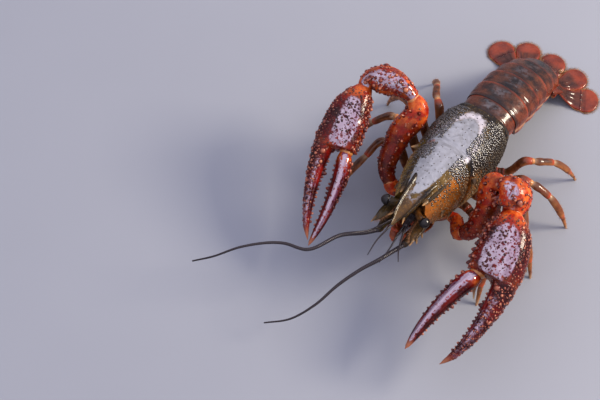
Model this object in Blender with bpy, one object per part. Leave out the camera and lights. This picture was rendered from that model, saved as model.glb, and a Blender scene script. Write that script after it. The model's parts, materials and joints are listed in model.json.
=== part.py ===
"""A red swamp crayfish, life size, standing with both claws held up and forward.

The animal faces -Y with its left side at +X, and it stands on z = 0.
Every size below is in millimetres, and the meshes are scaled to metres as they are made.
"""

import math
import random

import bmesh
import bpy
import numpy as np
from mathutils import Matrix, Vector

MM = 0.001
GAP = 0.35  # space between pieces that touch
SEED = 7
SPINE_SINK = 0.6  # share of a spine's height that is sunk in its root

# Back shield, measured along the body from the tip of the rostrum.
SHELL_LENGTH = 52.0
TIP_Y = -26.0  # where the rostrum's tip stands along Y
SHELL_SQUARENESS = 2.3  # 2 is an ellipse, more is boxier
SHELL_AT = (10.5, 14.0, 18.0, 24.0, 30.0, 36.0, 42.0, 47.0, 52.0)
SHELL_HALF_WIDTH = (6.0, 7.5, 8.7, 10.1, 11.0, 11.5, 11.4, 10.7, 9.4)
SHELL_TOP = (32.0, 32.5, 33.0, 33.7, 34.0, 33.8, 33.0, 31.6, 29.4)
SHELL_BOTTOM = (19.5, 16.6, 14.6, 13.0, 12.2, 11.9, 12.2, 13.2, 15.0)
FACE_AT = 10.5  # front of the head, where eyes and feelers stand
GROOVE_TOP_AT = 33.0  # neck groove on the ridge of the back
GROOVE_REACH = 15.0  # how far the groove runs forward on its way down the sides
GROOVE_DEPTH = 0.7
SHELL_SIDES = 24

# Rostrum, the pointed beam between the eyes.
ROSTRUM_TIP_Z = 31.2
ROSTRUM_ROOT_AT = 15.0
ROSTRUM_ROOT_HALF_WIDTH = 3.9
ROSTRUM_THICKNESS = 2.0

# Underside, the bar that carries the limbs.
BELLY_FRONT_Y = -6.0
BELLY_REAR_Y = 23.5
BELLY_HALF_WIDTH = 6.8
BELLY_TOP_Z = 11.5
BELLY_BOTTOM_Z = 8.0
BELLY_STEPS = 23

# Tail segments.
TERGITE_LENGTHS = (4.2, 6.6, 6.9, 6.9, 6.5, 7.6)
TERGITE_HALF_WIDTHS = (8.9, 9.7, 9.7, 9.3, 8.7, 7.6)
TERGITE_RISES = (6.0, 6.4, 6.2, 5.8, 5.2, 4.3)
PLEURA_DROPS = (3.6, 6.6, 6.4, 6.0, 5.4, 4.2)
BELLY_DROP = 3.0
# share of a ring's length, then the scale of its arch and of its side flaps there
TERGITE_SHAPE = ((0.0, 0.93, 0.72), (0.3, 0.985, 0.96), (0.75, 1.0, 1.0), (1.0, 0.985, 0.86))
SWIMMERET_LENGTHS = (0.0, 9.0, 9.0, 8.0, 6.0)  # the first ring has stylets in their place
TAIL_START = (26.35, 22.6)  # y and z of the axis where the tail leaves the shell
TAIL_PITCH_START = 6.0
TAIL_PITCH_END = 44.0

# Tail fan: the middle plate, then each side blade's root, heading, length and half widths.
TELSON_LENGTH = 12.0
TELSON_HALF_WIDTHS = (3.6, 4.2, 4.4, 4.4, 4.1, 2.3)
FAN_BLADES = {
    "inner": {"root_x": 5.3, "back": 0.2, "heading": 26.0, "length": 12.0,
              "halves": (1.2, 1.9, 2.7, 3.6, 3.8, 1.9)},
    "outer": {"root_x": 8.1, "back": -1.4, "heading": 61.0, "length": 12.8,
              "halves": (1.2, 2.0, 2.9, 3.8, 4.2, 2.0)},
}
FAN_SHARES = (0.0, 0.16, 0.36, 0.58, 0.8, 0.93, 1.0)

# Mouth: the plate between the feelers, and the jaws that hang under the front of the shell.
EPISTOME_OUTLINE = ((0.0, 19.9), (2.0, 20.7), (2.35, 22.3), (1.5, 23.45), (-1.5, 23.45), (-2.35, 22.3),
                    (-2.0, 20.7))
EPISTOME_MIDDLE_Z = 21.9
EPISTOME_DEPTH = 1.2
JAW_ROOT = (1.75, -14.35, 17.85)
JAW_LENGTH = 1.9

# Claw arms: shoulder, elbow and wrist of each side, then the claw's own sizes. The girth is how
# thick the wrist piece and the claw are: the right claw is the slimmer one. The lead is how far
# the wrist piece keeps the way of each joint before it bends.
COXA = (7.15, -2.2, 9.9)
ARMS = {
    "left": {"shoulder": (14.4, -6.2, 12.6), "elbow": (19.8, 4.0, 33.8), "wrist": (27.2, -0.6, 30.6),
             "reach": (0.31, -0.95, -0.30), "inward": 25.0, "open": 27.0, "tilt": 4.0, "girth": 1.0,
             "lead": 2.4},
    "right": {"shoulder": (-14.6, -4.4, 12.8), "elbow": (-19.5, 14.4, 32.6), "wrist": (-34.6, 9.4, 32.0),
              "reach": (0.12, -0.95, -0.34), "inward": 18.0, "open": 6.5, "tilt": 4.0, "girth": 0.84,
              "lead": 0.9},
}
CLAW_LENGTH = 50.5
DACTYL_LENGTH = 30.0
DACTYL_HINGE = (21.7, 4.3)
BEND_FROM = 8.0
MERUS_BOW = 1.6  # how far the upper arm bows away from the body

# Walking legs, front to back: root, knee and foot of each side.
LEG_ROOT_X = 7.15
LEG_ROOT_Z = 9.9
LEG_PITCH = 5.4
LEG_ROOT_YS = tuple(3.6 + LEG_PITCH * k for k in range(4))
LEG_KNEES = {
    "left": ((22.0, 0.5, 18.5), (24.0, 9.5, 19.5), (23.2, 18.0, 18.5), (19.0, 26.0, 17.0)),
    "right": ((-22.0, 5.0, 17.5), (-24.4, 13.0, 19.0), (-22.8, 20.0, 18.5), (-18.2, 27.5, 17.0)),
}
LEG_FEET = {
    "left": ((29.0, -19.0, 0.0), (37.5, -1.0, 0.0), (37.0, 21.0, 0.0), (30.0, 38.0, 0.0)),
    "right": ((-31.0, -13.0, 0.0), (-39.0, 5.0, 0.0), (-36.0, 26.0, 0.0), (-28.0, 42.0, 0.0)),
}
LEG_THICKNESS = (1.75, 1.8, 1.6, 1.45)

# Feelers.
FEELER_THICKNESS = 0.75
FEELER_TIP_THICKNESS = 0.3
FEELER_ROUTES = {
    "left": ((4.6, -25.6, 22.6), (3.2, -29.0, 22.4), (1.4, -33.5, 22.0), (-1.6, -39.0, 20.6),
             (-5.0, -46.0, 17.6), (-8.0, -54.5, 13.6), (-12.5, -61.0, 9.6), (-19.0, -65.5, 6.6)),
    "right": ((-4.6, -25.6, 22.6), (-7.2, -28.6, 22.6), (-12.6, -33.6, 22.6), (-18.8, -44.0, 22.0),
              (-25.6, -46.0, 21.6), (-35.6, -54.4, 21.0), (-42.0, -60.5, 17.0), (-48.0, -63.5, 12.0)),
}

COLOURS = {
    "shell": ((0.075, 0.055, 0.028), 0.28),
    "tail": ((0.10, 0.045, 0.03), 0.30),
    "claw": ((0.42, 0.045, 0.025), 0.32),
    "leg": ((0.36, 0.12, 0.03), 0.35),
    "feeler": ((0.09, 0.04, 0.03), 0.40),
    "underside": ((0.30, 0.17, 0.10), 0.45),
    "eye": ((0.008, 0.008, 0.010), 0.12),
}


def clear_scene():
    """Remove every object of the scene."""
    for thing in list(bpy.data.objects):
        bpy.data.objects.remove(thing, do_unlink=True)


def make_material(name):
    """Return the named material, made with its colour and roughness on first use."""
    if name in bpy.data.materials:
        return bpy.data.materials[name]
    colour, roughness = COLOURS[name]
    material = bpy.data.materials.new(name)
    material.use_nodes = True
    shader = material.node_tree.nodes["Principled BSDF"]
    shader.inputs["Base Color"].default_value = (*colour, 1.0)
    shader.inputs["Roughness"].default_value = roughness
    shader.inputs["Metallic"].default_value = 0.0
    return material


def unit(vector):
    """Return the vector at length 1."""
    vector = np.asarray(vector, float)
    return vector / np.linalg.norm(vector)


def smooth(stations, values, s):
    """Read at s the smooth curve that passes through the values at the stations."""
    stations = np.asarray(stations, float)
    values = np.asarray(values, float)
    s = np.clip(np.asarray(s, float), stations[0], stations[-1])
    slopes = np.gradient(values, stations, axis=0)
    i = np.clip(np.searchsorted(stations, s, side="right") - 1, 0, len(stations) - 2)
    span = stations[i + 1] - stations[i]
    t = (s - stations[i]) / span
    if values.ndim > 1:
        t = t[..., None]
        span = span[..., None]
    rise = values[i + 1] - values[i]
    curve = values[i] + rise * t * t * (3.0 - 2.0 * t)
    return curve + span * (slopes[i] * t * (1 - t) ** 2 - slopes[i + 1] * t * t * (1 - t))


def route(points, count):
    """Return count points, evenly spaced, on the smooth curve through the given points."""
    points = np.asarray(points, float)
    stations = np.concatenate([[0.0], np.cumsum(np.linalg.norm(np.diff(points, axis=0), axis=1))])
    return smooth(stations, points, np.linspace(0.0, stations[-1], count))


def oval(count, squareness=2.0):
    """Return the across and up values of an oval of half-width 1, from its top round by +across."""
    angle = np.arange(count) * 2.0 * math.pi / count
    power = 2.0 / squareness
    across = np.sign(np.sin(angle)) * np.abs(np.sin(angle)) ** power
    up = np.sign(np.cos(angle)) * np.abs(np.cos(angle)) ** power
    return across, up


def tube_rings(path, across, up, sides, lift=(0.0, 0.0, 1.0), squareness=2.0):
    """Return a ring of points round each path point, across wide and up high on each side."""
    path = np.asarray(path, float)
    forward = np.gradient(path, axis=0)
    forward /= np.linalg.norm(forward, axis=1, keepdims=True)
    side = np.cross(forward, np.asarray(lift, float))
    side /= np.linalg.norm(side, axis=1, keepdims=True)
    top = np.cross(side, forward)
    a, u = oval(sides, squareness)
    across = np.broadcast_to(np.asarray(across, float), len(path))[:, None, None]
    up = np.broadcast_to(np.asarray(up, float), len(path))[:, None, None]
    return path[:, None] + side[:, None] * a[None, :, None] * across + top[:, None] * u[None, :, None] * up


def slide(ring, direction, point, normal):
    """Slide the ring's points along the direction on to the plane through the point."""
    direction = unit(direction)
    normal = unit(normal)
    offset = (np.asarray(point, float) - ring) @ normal
    return ring + direction * (offset / np.dot(direction, normal))[:, None]


def limb_rings(start, middle, end, across, up, sides, lift, lead=1.5):
    """Return the rings of a limb piece between two joint faces.

    The start and the end are each a point and a direction: the piece leaves the start square
    to its direction and reaches the end square to its own, by way of the middle points.
    """
    (first, leave), (last, arrive) = start, end
    first, last = np.asarray(first, float), np.asarray(last, float)
    leave, arrive = unit(leave), unit(arrive)
    points = [first, first + leave * lead, *middle, last - arrive * lead, last]
    path = route(points, len(across))
    rings = tube_rings(path, across, up, sides, lift)
    rings[0] = slide(rings[0], leave, first, leave)
    rings[-1] = slide(rings[-1], arrive, last, arrive)
    return rings, path


def between(before, joint, after):
    """Return the direction half way between the ways into and out of a joint."""
    before, joint, after = (np.asarray(point, float) for point in (before, joint, after))
    return unit(unit(joint - before) + unit(after - joint))


def loft_mesh(name, rings):
    """Join the rings by a skin, close both ends by a fan of faces, and return the mesh."""
    rings = np.asarray(rings, float) * MM
    work = bmesh.new()
    loops = [[work.verts.new(point) for point in ring] for ring in rings]
    count = len(loops[0])
    for low, high in zip(loops, loops[1:]):
        for k in range(count):
            work.faces.new((low[k], low[(k + 1) % count], high[(k + 1) % count], high[k]))
    for ring, loop in ((rings[0], loops[0]), (rings[-1], loops[-1])):
        middle = work.verts.new(ring.mean(axis=0))
        for k in range(count):
            work.faces.new((middle, loop[k], loop[(k + 1) % count]))
    bmesh.ops.recalc_face_normals(work, faces=work.faces[:])
    bmesh.ops.triangulate(work, faces=work.faces[:])
    mesh = bpy.data.meshes.new(name)
    work.to_mesh(mesh)
    work.free()
    return mesh


def add_object(name, mesh, material):
    """Put the mesh in the scene as a named object of one material."""
    thing = bpy.data.objects.new(name, mesh)
    bpy.context.scene.collection.objects.link(thing)
    mesh.materials.append(make_material(material))
    mesh.shade_smooth()
    mesh.set_sharp_from_angle(angle=math.radians(50))
    return thing


def add_loft(name, rings, material):
    """Add an object skinned over the rings."""
    return add_object(name, loft_mesh(name, rings), material)


def cone_mesh(root, tip, radius, sides=5):
    """Return a spine: a cone as wide as the radius at its root, with a part of it sunk below the root."""
    root = Vector(root)
    tip = Vector(tip)
    height = (tip - root).length
    sink = height * SPINE_SINK
    turn = (tip - root).to_track_quat("Z", "X").to_matrix().to_4x4()
    work = bmesh.new()
    bmesh.ops.create_cone(
        work, cap_ends=True, cap_tris=False, segments=sides, depth=(height + sink) * MM,
        radius1=radius * (1.0 + SPINE_SINK) * MM, radius2=0.0,
        matrix=Matrix.Translation((root + (tip - root) * (1.0 - SPINE_SINK) / 2.0) * MM) @ turn)
    mesh = bpy.data.meshes.new("spine")
    work.to_mesh(mesh)
    work.free()
    return mesh


def fuse(thing, meshes):
    """Join the closed meshes to the object in one union and keep the largest closed surface."""
    group = bpy.data.collections.new(thing.name + " pieces")
    bpy.context.scene.collection.children.link(group)
    for mesh in meshes:
        group.objects.link(bpy.data.objects.new("piece", mesh))
    union = thing.modifiers.new("union", "BOOLEAN")
    union.operation = "UNION"
    union.operand_type = "COLLECTION"
    union.collection = group
    union.solver = "MANIFOLD"
    bpy.context.view_layer.update()
    joined = bpy.data.meshes.new_from_object(thing.evaluated_get(bpy.context.evaluated_depsgraph_get()))
    thing.modifiers.clear()
    thing.data = joined
    for piece in list(group.objects):
        bpy.data.objects.remove(piece, do_unlink=True)
    bpy.data.collections.remove(group)
    keep_largest(joined)


def keep_largest(mesh):
    """Delete every closed surface of the mesh but the one with most faces, then make triangles."""
    work = bmesh.new()
    work.from_mesh(mesh)
    unseen = set(work.verts)
    shells = []
    while unseen:
        stack = [unseen.pop()]
        shell = set(stack)
        while stack:
            for edge in stack.pop().link_edges:
                for vert in edge.verts:
                    if vert in unseen:
                        unseen.discard(vert)
                        shell.add(vert)
                        stack.append(vert)
        shells.append(shell)
    largest = max(shells, key=len)
    scraps = [vert for shell in shells if shell is not largest for vert in shell]
    bmesh.ops.delete(work, geom=scraps, context="VERTS")
    bmesh.ops.triangulate(work, faces=work.faces[:])
    work.to_mesh(mesh)
    work.free()


def flatten_below(thing, level=0.0):
    """Cut the object off at the level and close it with a flat face."""
    work = bmesh.new()
    work.from_mesh(thing.data)
    cut = bmesh.ops.bisect_plane(
        work, geom=work.verts[:] + work.edges[:] + work.faces[:], dist=1e-7,
        plane_co=(0.0, 0.0, level * MM), plane_no=(0.0, 0.0, 1.0), clear_inner=True)
    rim = [part for part in cut["geom_cut"] if isinstance(part, bmesh.types.BMEdge)]
    if rim:
        bmesh.ops.contextual_create(work, geom=rim)
    bmesh.ops.recalc_face_normals(work, faces=work.faces[:])
    bmesh.ops.triangulate(work, faces=work.faces[:])
    work.to_mesh(thing.data)
    work.free()


def shell_point(s, angle, inset=0.0):
    """Return the back shield's point at s, angle 0 on the ridge and pi underneath."""
    s = np.asarray(s, float)
    wide = smooth(SHELL_AT, SHELL_HALF_WIDTH, s) - inset
    top = smooth(SHELL_AT, SHELL_TOP, s) - inset
    low = smooth(SHELL_AT, SHELL_BOTTOM, s) + inset
    power = 2.0 / SHELL_SQUARENESS
    across = np.sign(np.sin(angle)) * np.abs(np.sin(angle)) ** power
    rise = np.sign(np.cos(angle)) * np.abs(np.cos(angle)) ** power
    x = wide * across
    z = (top + low) / 2.0 + (top - low) / 2.0 * rise
    y = s + TIP_Y
    return np.stack(np.broadcast_arrays(x, y, z), axis=-1)


def shell_outward(s, angle):
    """Return the direction that points out of the back shield at s and angle."""
    here = shell_point(s, angle)
    along = shell_point(s + 0.5, angle) - here
    around = shell_point(s, angle + 0.02) - here
    outward = unit(np.cross(around, along))
    middle = shell_point(s, 0.0) * 0.5 + shell_point(s, math.pi) * 0.5
    return outward if np.dot(outward, here - middle) > 0 else -outward


def groove_at(angle):
    """Return the neck groove's distance from the rostrum's tip at the angle."""
    return GROOVE_TOP_AT - GROOVE_REACH * np.sin(np.asarray(angle) / 2.0) ** 2


def shell_angles():
    """Return the angles of the points round the back shield."""
    return np.arange(SHELL_SIDES) * 2.0 * math.pi / SHELL_SIDES


def wrapped(angle):
    """Return the angle's size counted from the ridge, the same on both sides."""
    return np.abs((np.asarray(angle) + math.pi) % (2.0 * math.pi) - math.pi)


def rostrum_mesh():
    """Return the rostrum: a flat three-sided beam with raised edges."""
    stations = np.array([0.35, 3.0, 4.2, 7.5, 11.0, ROSTRUM_ROOT_AT])
    half = np.array([0.35, 1.15, 1.9, 2.7, 3.3, ROSTRUM_ROOT_HALF_WIDTH])
    thick = np.array([0.5, 1.1, 1.3, 1.7, ROSTRUM_THICKNESS, ROSTRUM_THICKNESS])
    top = np.interp(stations, (0.0, FACE_AT), (ROSTRUM_TIP_Z, SHELL_TOP[0] + 0.25))
    rings = []
    for s, w, h, z in zip(stations, half, thick, top):
        edge = 0.35 * min(w, 1.6)
        outline = ((-w, z), (-w + edge, z + edge * 0.6), (-w * 0.45, z - edge * 0.5),
                   (w * 0.45, z - edge * 0.5), (w - edge, z + edge * 0.6), (w, z),
                   (w * 0.55, z - h), (-w * 0.55, z - h))
        rings.append([(x, s + TIP_Y, height) for x, height in outline])
    return loft_mesh("rostrum", rings)


def shell_spines(places, height, radius):
    """Return spines on the back shield at the (s, angle) places, leaning forward."""
    pieces = []
    for s, angle in places:
        root = shell_point(s, angle)
        out = shell_outward(s, abs(angle)) * np.array([1.0 if angle > 0 else -1.0, 1.0, 1.0])
        tip = root + height * unit(out + np.array([0.0, -0.8, 0.0]))
        pieces.append(cone_mesh(root, tip, radius))
    return pieces


def shell_bumps(draw, low, high, rows, spread):
    """Return low bumps scattered over the back shield between two stations."""
    pieces = []
    for row in range(rows):
        s = low + (high - low) * (row + 0.5) / rows
        for side in (1.0, -1.0):
            for step in spread:
                angle = side * (step + draw.uniform(-0.12, 0.12))
                place = s + draw.uniform(-0.8, 0.8)
                if abs(place - groove_at(angle)) < 2.0:
                    continue
                root = shell_point(place, angle)
                out = shell_outward(place, abs(angle)) * np.array([side, 1.0, 1.0])
                pieces.append(cone_mesh(root, root + 0.75 * out, 0.62))
    return pieces


def add_head():
    """Add the front half of the back shield, with the rostrum, ridges and spines."""
    angles = shell_angles()
    edge = groove_at(wrapped(angles)) - GAP / 2.0
    shares = (0.0, 0.14, 0.34, 0.56, 0.78, 0.94, 1.0)
    rings = []
    for share in shares:
        s = FACE_AT + (edge - FACE_AT) * share
        inset = GROOVE_DEPTH if share == 1.0 else 0.0
        rings.append(shell_point(s, angles, inset))
    head = add_loft("head_shell", rings, "shell")
    pieces = [rostrum_mesh()]
    pieces += shell_spines([(13.2, 0.62), (13.2, -0.62)], 2.0, 0.8)
    pieces += shell_spines([(16.0, 1.55), (16.0, -1.55), (19.5, 1.85), (19.5, -1.85)], 1.6, 0.8)
    for side in (1.0, -1.0):
        ridge_path = [shell_point(s, side * 0.60) for s in (13.0, 15.0, 17.5, 20.0, 22.0)]
        rings = tube_rings(ridge_path, (0.5, 0.9, 0.9, 0.8, 0.3), (0.3, 0.8, 0.8, 0.6, 0.2), 6)
        pieces.append(loft_mesh("ridge", rings))
        spine_root = (side * 1.7, 4.1 + TIP_Y, ROSTRUM_TIP_Z - 0.2)
        spine_tip = (side * 2.6, 1.9 + TIP_Y, ROSTRUM_TIP_Z + 0.4)
        pieces.append(cone_mesh(spine_root, spine_tip, 0.5))
    pieces += shell_bumps(random.Random(SEED), 20.0, 30.0, 2, (0.4, 1.0))
    fuse(head, pieces)


def add_thorax():
    """Add the rear half of the back shield, with its neck spines and scattered bumps."""
    angles = shell_angles()
    edge = groove_at(wrapped(angles)) + GAP / 2.0
    shares = (0.0, 0.05, 0.2, 0.38, 0.56, 0.74, 0.88, 0.96, 1.0)
    rings = []
    for share in shares:
        s = edge + (SHELL_LENGTH - edge) * share
        inset = {0.0: GROOVE_DEPTH, 1.0: 0.5}.get(share, 0.0)
        rings.append(shell_point(s, angles, inset))
    thorax = add_loft("thorax_shell", rings, "shell")
    pieces = shell_spines([(29.6, 1.25), (29.6, -1.25)], 2.2, 0.9)
    pieces += shell_bumps(random.Random(SEED + 1), 27.0, 50.0, 6, (0.4, 0.85, 1.35))
    fuse(thorax, pieces)


def add_belly():
    """Add the plates under the body that carry the limbs, ridged and notched between them."""
    rings = []
    for share in np.linspace(0.0, 1.0, BELLY_STEPS):
        y = BELLY_FRONT_Y + (BELLY_REAR_Y - BELLY_FRONT_Y) * share
        w = BELLY_HALF_WIDTH
        notch = 0.5 + 0.5 * math.cos((y - LEG_ROOT_YS[0]) / LEG_PITCH * 2.0 * math.pi)
        low = BELLY_BOTTOM_Z + 0.9 * (1.0 - notch)
        keel = w * (0.16 + 0.26 * share)
        outline = ((-w, BELLY_TOP_Z), (w, BELLY_TOP_Z), (w, low + 0.5), (w - 1.2, low),
                   (keel, low + 1.3), (keel * 0.4, low + 0.3), (-keel * 0.4, low + 0.3),
                   (-keel, low + 1.3), (-w + 1.2, low), (-w, low + 0.5))
        rings.append([(x, y, z) for x, z in outline])
    add_loft("thorax_underside", rings, "underside")


def tail_axis():
    """Return the y, z and pitch of the tail's axis at each end of its segments."""
    fine = 24
    y, z = TAIL_START
    total = sum(TERGITE_LENGTHS)
    done = 0.0
    joints = [(y, z, math.radians(TAIL_PITCH_START))]
    for length in TERGITE_LENGTHS:
        for _ in range(fine):
            done += length / fine
            turned = (TAIL_PITCH_END - TAIL_PITCH_START) * (done / total) ** 1.2
            pitch = math.radians(TAIL_PITCH_START + turned)
            y += math.cos(pitch) * length / fine
            z -= math.sin(pitch) * length / fine
        joints.append((y, z, pitch))
    return joints


def tergite_ring(y, z, pitch, half, rise, drop, sides=11):
    """Return one closed outline of a tail ring: an arch above, side flaps, a flat belly."""
    arch = np.linspace(-0.5, 0.5, sides) * math.pi
    x = list(half * np.sin(arch))
    up = list(rise * np.cos(arch))
    flap = half * 0.94
    x += [flap, half * 0.78, half * 0.55, -half * 0.55, -half * 0.78, -flap]
    up += [-drop * 0.75, -drop, -BELLY_DROP, -BELLY_DROP, -drop, -drop * 0.75]
    return [(a, y + math.sin(pitch) * b, z + math.cos(pitch) * b) for a, b in zip(x, up)]


def swimmeret_meshes(y, z, pitch, half, length):
    """Return a pair of two-bladed swimmerets that hang from a tail ring's belly and trail back."""
    back = np.array([0.0, math.cos(pitch), -math.sin(pitch)])
    down = np.array([0.0, -math.sin(pitch), -math.cos(pitch)])
    pieces = []
    for side in (1.0, -1.0):
        out = np.array([side, 0.0, 0.0])
        root = np.array([0.0, y, z]) + out * half * 0.44 + down * BELLY_DROP
        knee = root + down * length * 0.3 + out * 0.3
        path = [root - down * 1.0, root + down * length * 0.12, knee]
        pieces.append(loft_mesh("stalk", tube_rings(path, 0.9, 0.9, 6, (1.0, 0.0, 0.0))))
        for spread in (-1.0, 1.0):
            start = knee - down * 1.0 + out * spread * 0.25
            middle = knee + down * length * 0.26 + back * length * 0.16 + out * spread * 0.8
            tip = knee + down * length * 0.5 + back * length * 0.5 + out * spread * 0.9
            rings = tube_rings(route((start, middle, tip), 4), (0.4, 0.45, 0.4, 0.25),
                               (0.5, 1.1, 1.0, 0.3), 6, (1.0, 0.0, 0.0))
            pieces.append(loft_mesh("blade", rings))
    return pieces


def stylet_meshes(y, z):
    """Return the pair of slim rods under the first tail ring that point forward, as on a male."""
    pieces = []
    for side in (1.0, -1.0):
        path = route(((side * 2.4, y, z - BELLY_DROP + 1.0), (side * 2.2, y - 0.3, z - 6.0),
                      (side * 1.7, y - 1.6, z - 9.0), (side * 1.4, y - 4.2, z - 10.2)), 6)
        thick = np.array([0.8, 0.8, 0.75, 0.7, 0.55, 0.3])
        pieces.append(loft_mesh("stylet", tube_rings(path, thick, thick, 6, (1.0, 0.0, 0.0))))
    return pieces


def add_tail():
    """Add the six tail rings with side flaps and swimmerets."""
    joints = tail_axis()
    for k in range(len(TERGITE_LENGTHS)):
        y0, z0, pitch0 = joints[k]
        y1, z1, pitch1 = joints[k + 1]
        half, rise, drop = TERGITE_HALF_WIDTHS[k], TERGITE_RISES[k], PLEURA_DROPS[k]
        rings = []
        for share, scale, flap in TERGITE_SHAPE:
            place = share * (1.0 - GAP / TERGITE_LENGTHS[k])
            pitch = pitch0 + (pitch1 - pitch0) * place
            rings.append(tergite_ring(y0 + (y1 - y0) * place, z0 + (z1 - z0) * place, pitch,
                                      half * scale, rise * scale, drop * flap))
        ring = add_loft("pleon_%d" % (k + 1), rings, "tail")
        middle = (y0 + y1) / 2.0, (z0 + z1) / 2.0, (pitch0 + pitch1) / 2.0
        if k == 0:
            fuse(ring, stylet_meshes(*middle[:2]))
        elif k < 5:
            fuse(ring, swimmeret_meshes(*middle, half, SWIMMERET_LENGTHS[k]))


def blade_rings(root, heading, length, halves, thickness, start_z):
    """Return the rings of a tail blade that leaves the last ring and lies down on the floor."""
    shares = np.array(FAN_SHARES)
    heading = math.radians(heading)
    direction = np.array([math.sin(heading), math.cos(heading), 0.0])
    across = np.array([math.cos(heading), -math.sin(heading), 0.0])
    wide = smooth(np.linspace(0.0, 1.0, len(halves)), halves, shares)
    fall = start_z * np.maximum(0.0, 1.0 - shares / 0.5) ** 1.7
    thick = thickness * np.interp(shares, (0.0, 0.8, 1.0), (1.3, 1.0, 0.6))
    rings = []
    for share, w, low, h in zip(shares, wide, fall, thick):
        centre = np.array([root[0], root[1], 0.0]) + direction * length * share
        outline = ((-w, 0.3 * h), (-w * 0.8, h * 0.8), (0.0, h), (w * 0.8, h * 0.8),
                   (w, 0.3 * h), (w * 0.85, 0.0), (0.0, 0.0), (-w * 0.85, 0.0))
        rings.append(np.array([centre + across * a + np.array([0.0, 0.0, low + b]) for a, b in outline]))
    y, z, pitch = tail_axis()[-1]
    rear = np.array([0.0, math.cos(pitch), -math.sin(pitch)])
    rings[0] = slide(rings[0], (0.0, 1.0, 0.0), np.array([0.0, y, z]) + rear * GAP, rear)
    return rings


def add_tail_fan():
    """Add the telson and the two blades of each uropod, all lying down at floor level."""
    y, z, _ = tail_axis()[-1]
    root_y = y + GAP + 0.9
    rings = blade_rings((0.0, root_y), 0.0, TELSON_LENGTH, TELSON_HALF_WIDTHS, 1.5, z - 1.8)
    telson = add_loft("telson", rings, "tail")
    spines = []
    for side in (1.0, -1.0):
        spines.append(cone_mesh((side * 4.0, root_y + 7.6, 0.9), (side * 4.9, root_y + 9.4, 0.8), 0.45))
    fuse(telson, spines)
    for name, side in (("left", 1.0), ("right", -1.0)):
        for part, blade in FAN_BLADES.items():
            root = (side * blade["root_x"], root_y + blade["back"])
            rings = blade_rings(root, side * blade["heading"], blade["length"], blade["halves"], 1.2, z - 2.4)
            add_loft("uropod_%s_%s" % (part, name), rings, "tail")


def add_eyes():
    """Add the two eyestalks and the dark eyes at their ends."""
    for name, side in (("left", 1.0), ("right", -1.0)):
        root = np.array([side * 2.9, TIP_Y + FACE_AT - GAP, 27.9])
        end = np.array([side * 6.0, TIP_Y + FACE_AT - 2.4, 28.3])
        direction = unit((side * 1.0, -0.35, 0.12))
        radii = np.array([0.95, 1.05, 1.2, 1.3])
        rings, _ = limb_rings((root, (side * 0.25, -1.0, 0.0)), [], (end, direction), radii, radii, 10,
                              (0.0, 0.0, 1.0), 0.8)
        add_loft("eyestalk_" + name, rings, "shell")
        steps = np.array([0.0, 0.45, 1.2, 2.0, 2.5, 2.75])
        radii = np.array([1.3, 1.62, 1.75, 1.45, 0.95, 0.35])
        eye_path = end + direction * (GAP + steps[:, None])
        add_loft("eye_" + name, tube_rings(eye_path, radii, radii, 12), "eye")


def add_feelers():
    """Add the feelers: the small forked pair, the large pair with its base, scale and whip."""
    face_y = TIP_Y + FACE_AT
    ahead = (0.0, -1.0, 0.0)
    for name, side in (("left", 1.0), ("right", -1.0)):
        flip = np.array([side, 1.0, 1.0])
        stem = np.array([1.1, 1.15, 0.95, 0.8])
        rings, _ = limb_rings(((side * 1.75, face_y - GAP, 24.9), ahead), [],
                              ((side * 2.0, -21.2, 25.4), ahead), stem, stem, 8, (0.0, 0.0, 1.0))
        antennule = add_loft("antennule_" + name, rings, "feeler")
        forks = (((2.3, -20.4, 25.5), (3.6, -25.0, 26.2), (5.6, -30.0, 27.6), (8.4, -34.5, 29.6)),
                 ((1.7, -20.4, 25.3), (1.9, -25.0, 25.2), (2.4, -30.0, 24.6), (2.2, -35.0, 23.2)))
        whips = []
        for fork in forks:
            path = route(np.array(fork) * flip, 7)
            thick = np.linspace(0.42, 0.22, 7)
            whips.append(loft_mesh("whip", tube_rings(path, thick, thick, 5)))
        fuse(antennule, whips)
        whip_root = np.array(FEELER_ROUTES[name][0])
        whip_ahead = unit(np.array(FEELER_ROUTES[name][1]) - whip_root)
        stem = np.array([1.9, 2.1, 1.9, 1.7, 1.3, 1.0])
        rings, _ = limb_rings(((side * 4.7, face_y - GAP, 22.3), ahead), [(side * 4.9, -20.0, 22.3)],
                              (whip_root - whip_ahead * GAP, whip_ahead), stem, stem, 10, (0.0, 0.0, 1.0))
        add_loft("antenna_base_" + name, rings, "shell")
        scale, _ = limb_rings(((side * 5.2, face_y - GAP, 25.4), ahead), [(side * 6.6, -19.5, 25.5)],
                              ((side * 6.9, -25.6, 26.0), ahead), np.array([0.7, 1.4, 1.8, 1.7, 1.1, 0.3]),
                              np.array([0.4, 0.45, 0.45, 0.42, 0.4, 0.3]), 8, (0.0, 0.0, 1.0))
        add_loft("antenna_scale_" + name, scale, "shell")
        whip = route(FEELER_ROUTES[name], 28)
        thick = np.linspace(FEELER_THICKNESS, FEELER_TIP_THICKNESS, len(whip))
        rings = tube_rings(whip, thick, thick, 6)
        rings[0] = slide(rings[0], whip_ahead, whip_root, whip_ahead)
        add_loft("antenna_whip_" + name, rings, "feeler")


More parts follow.
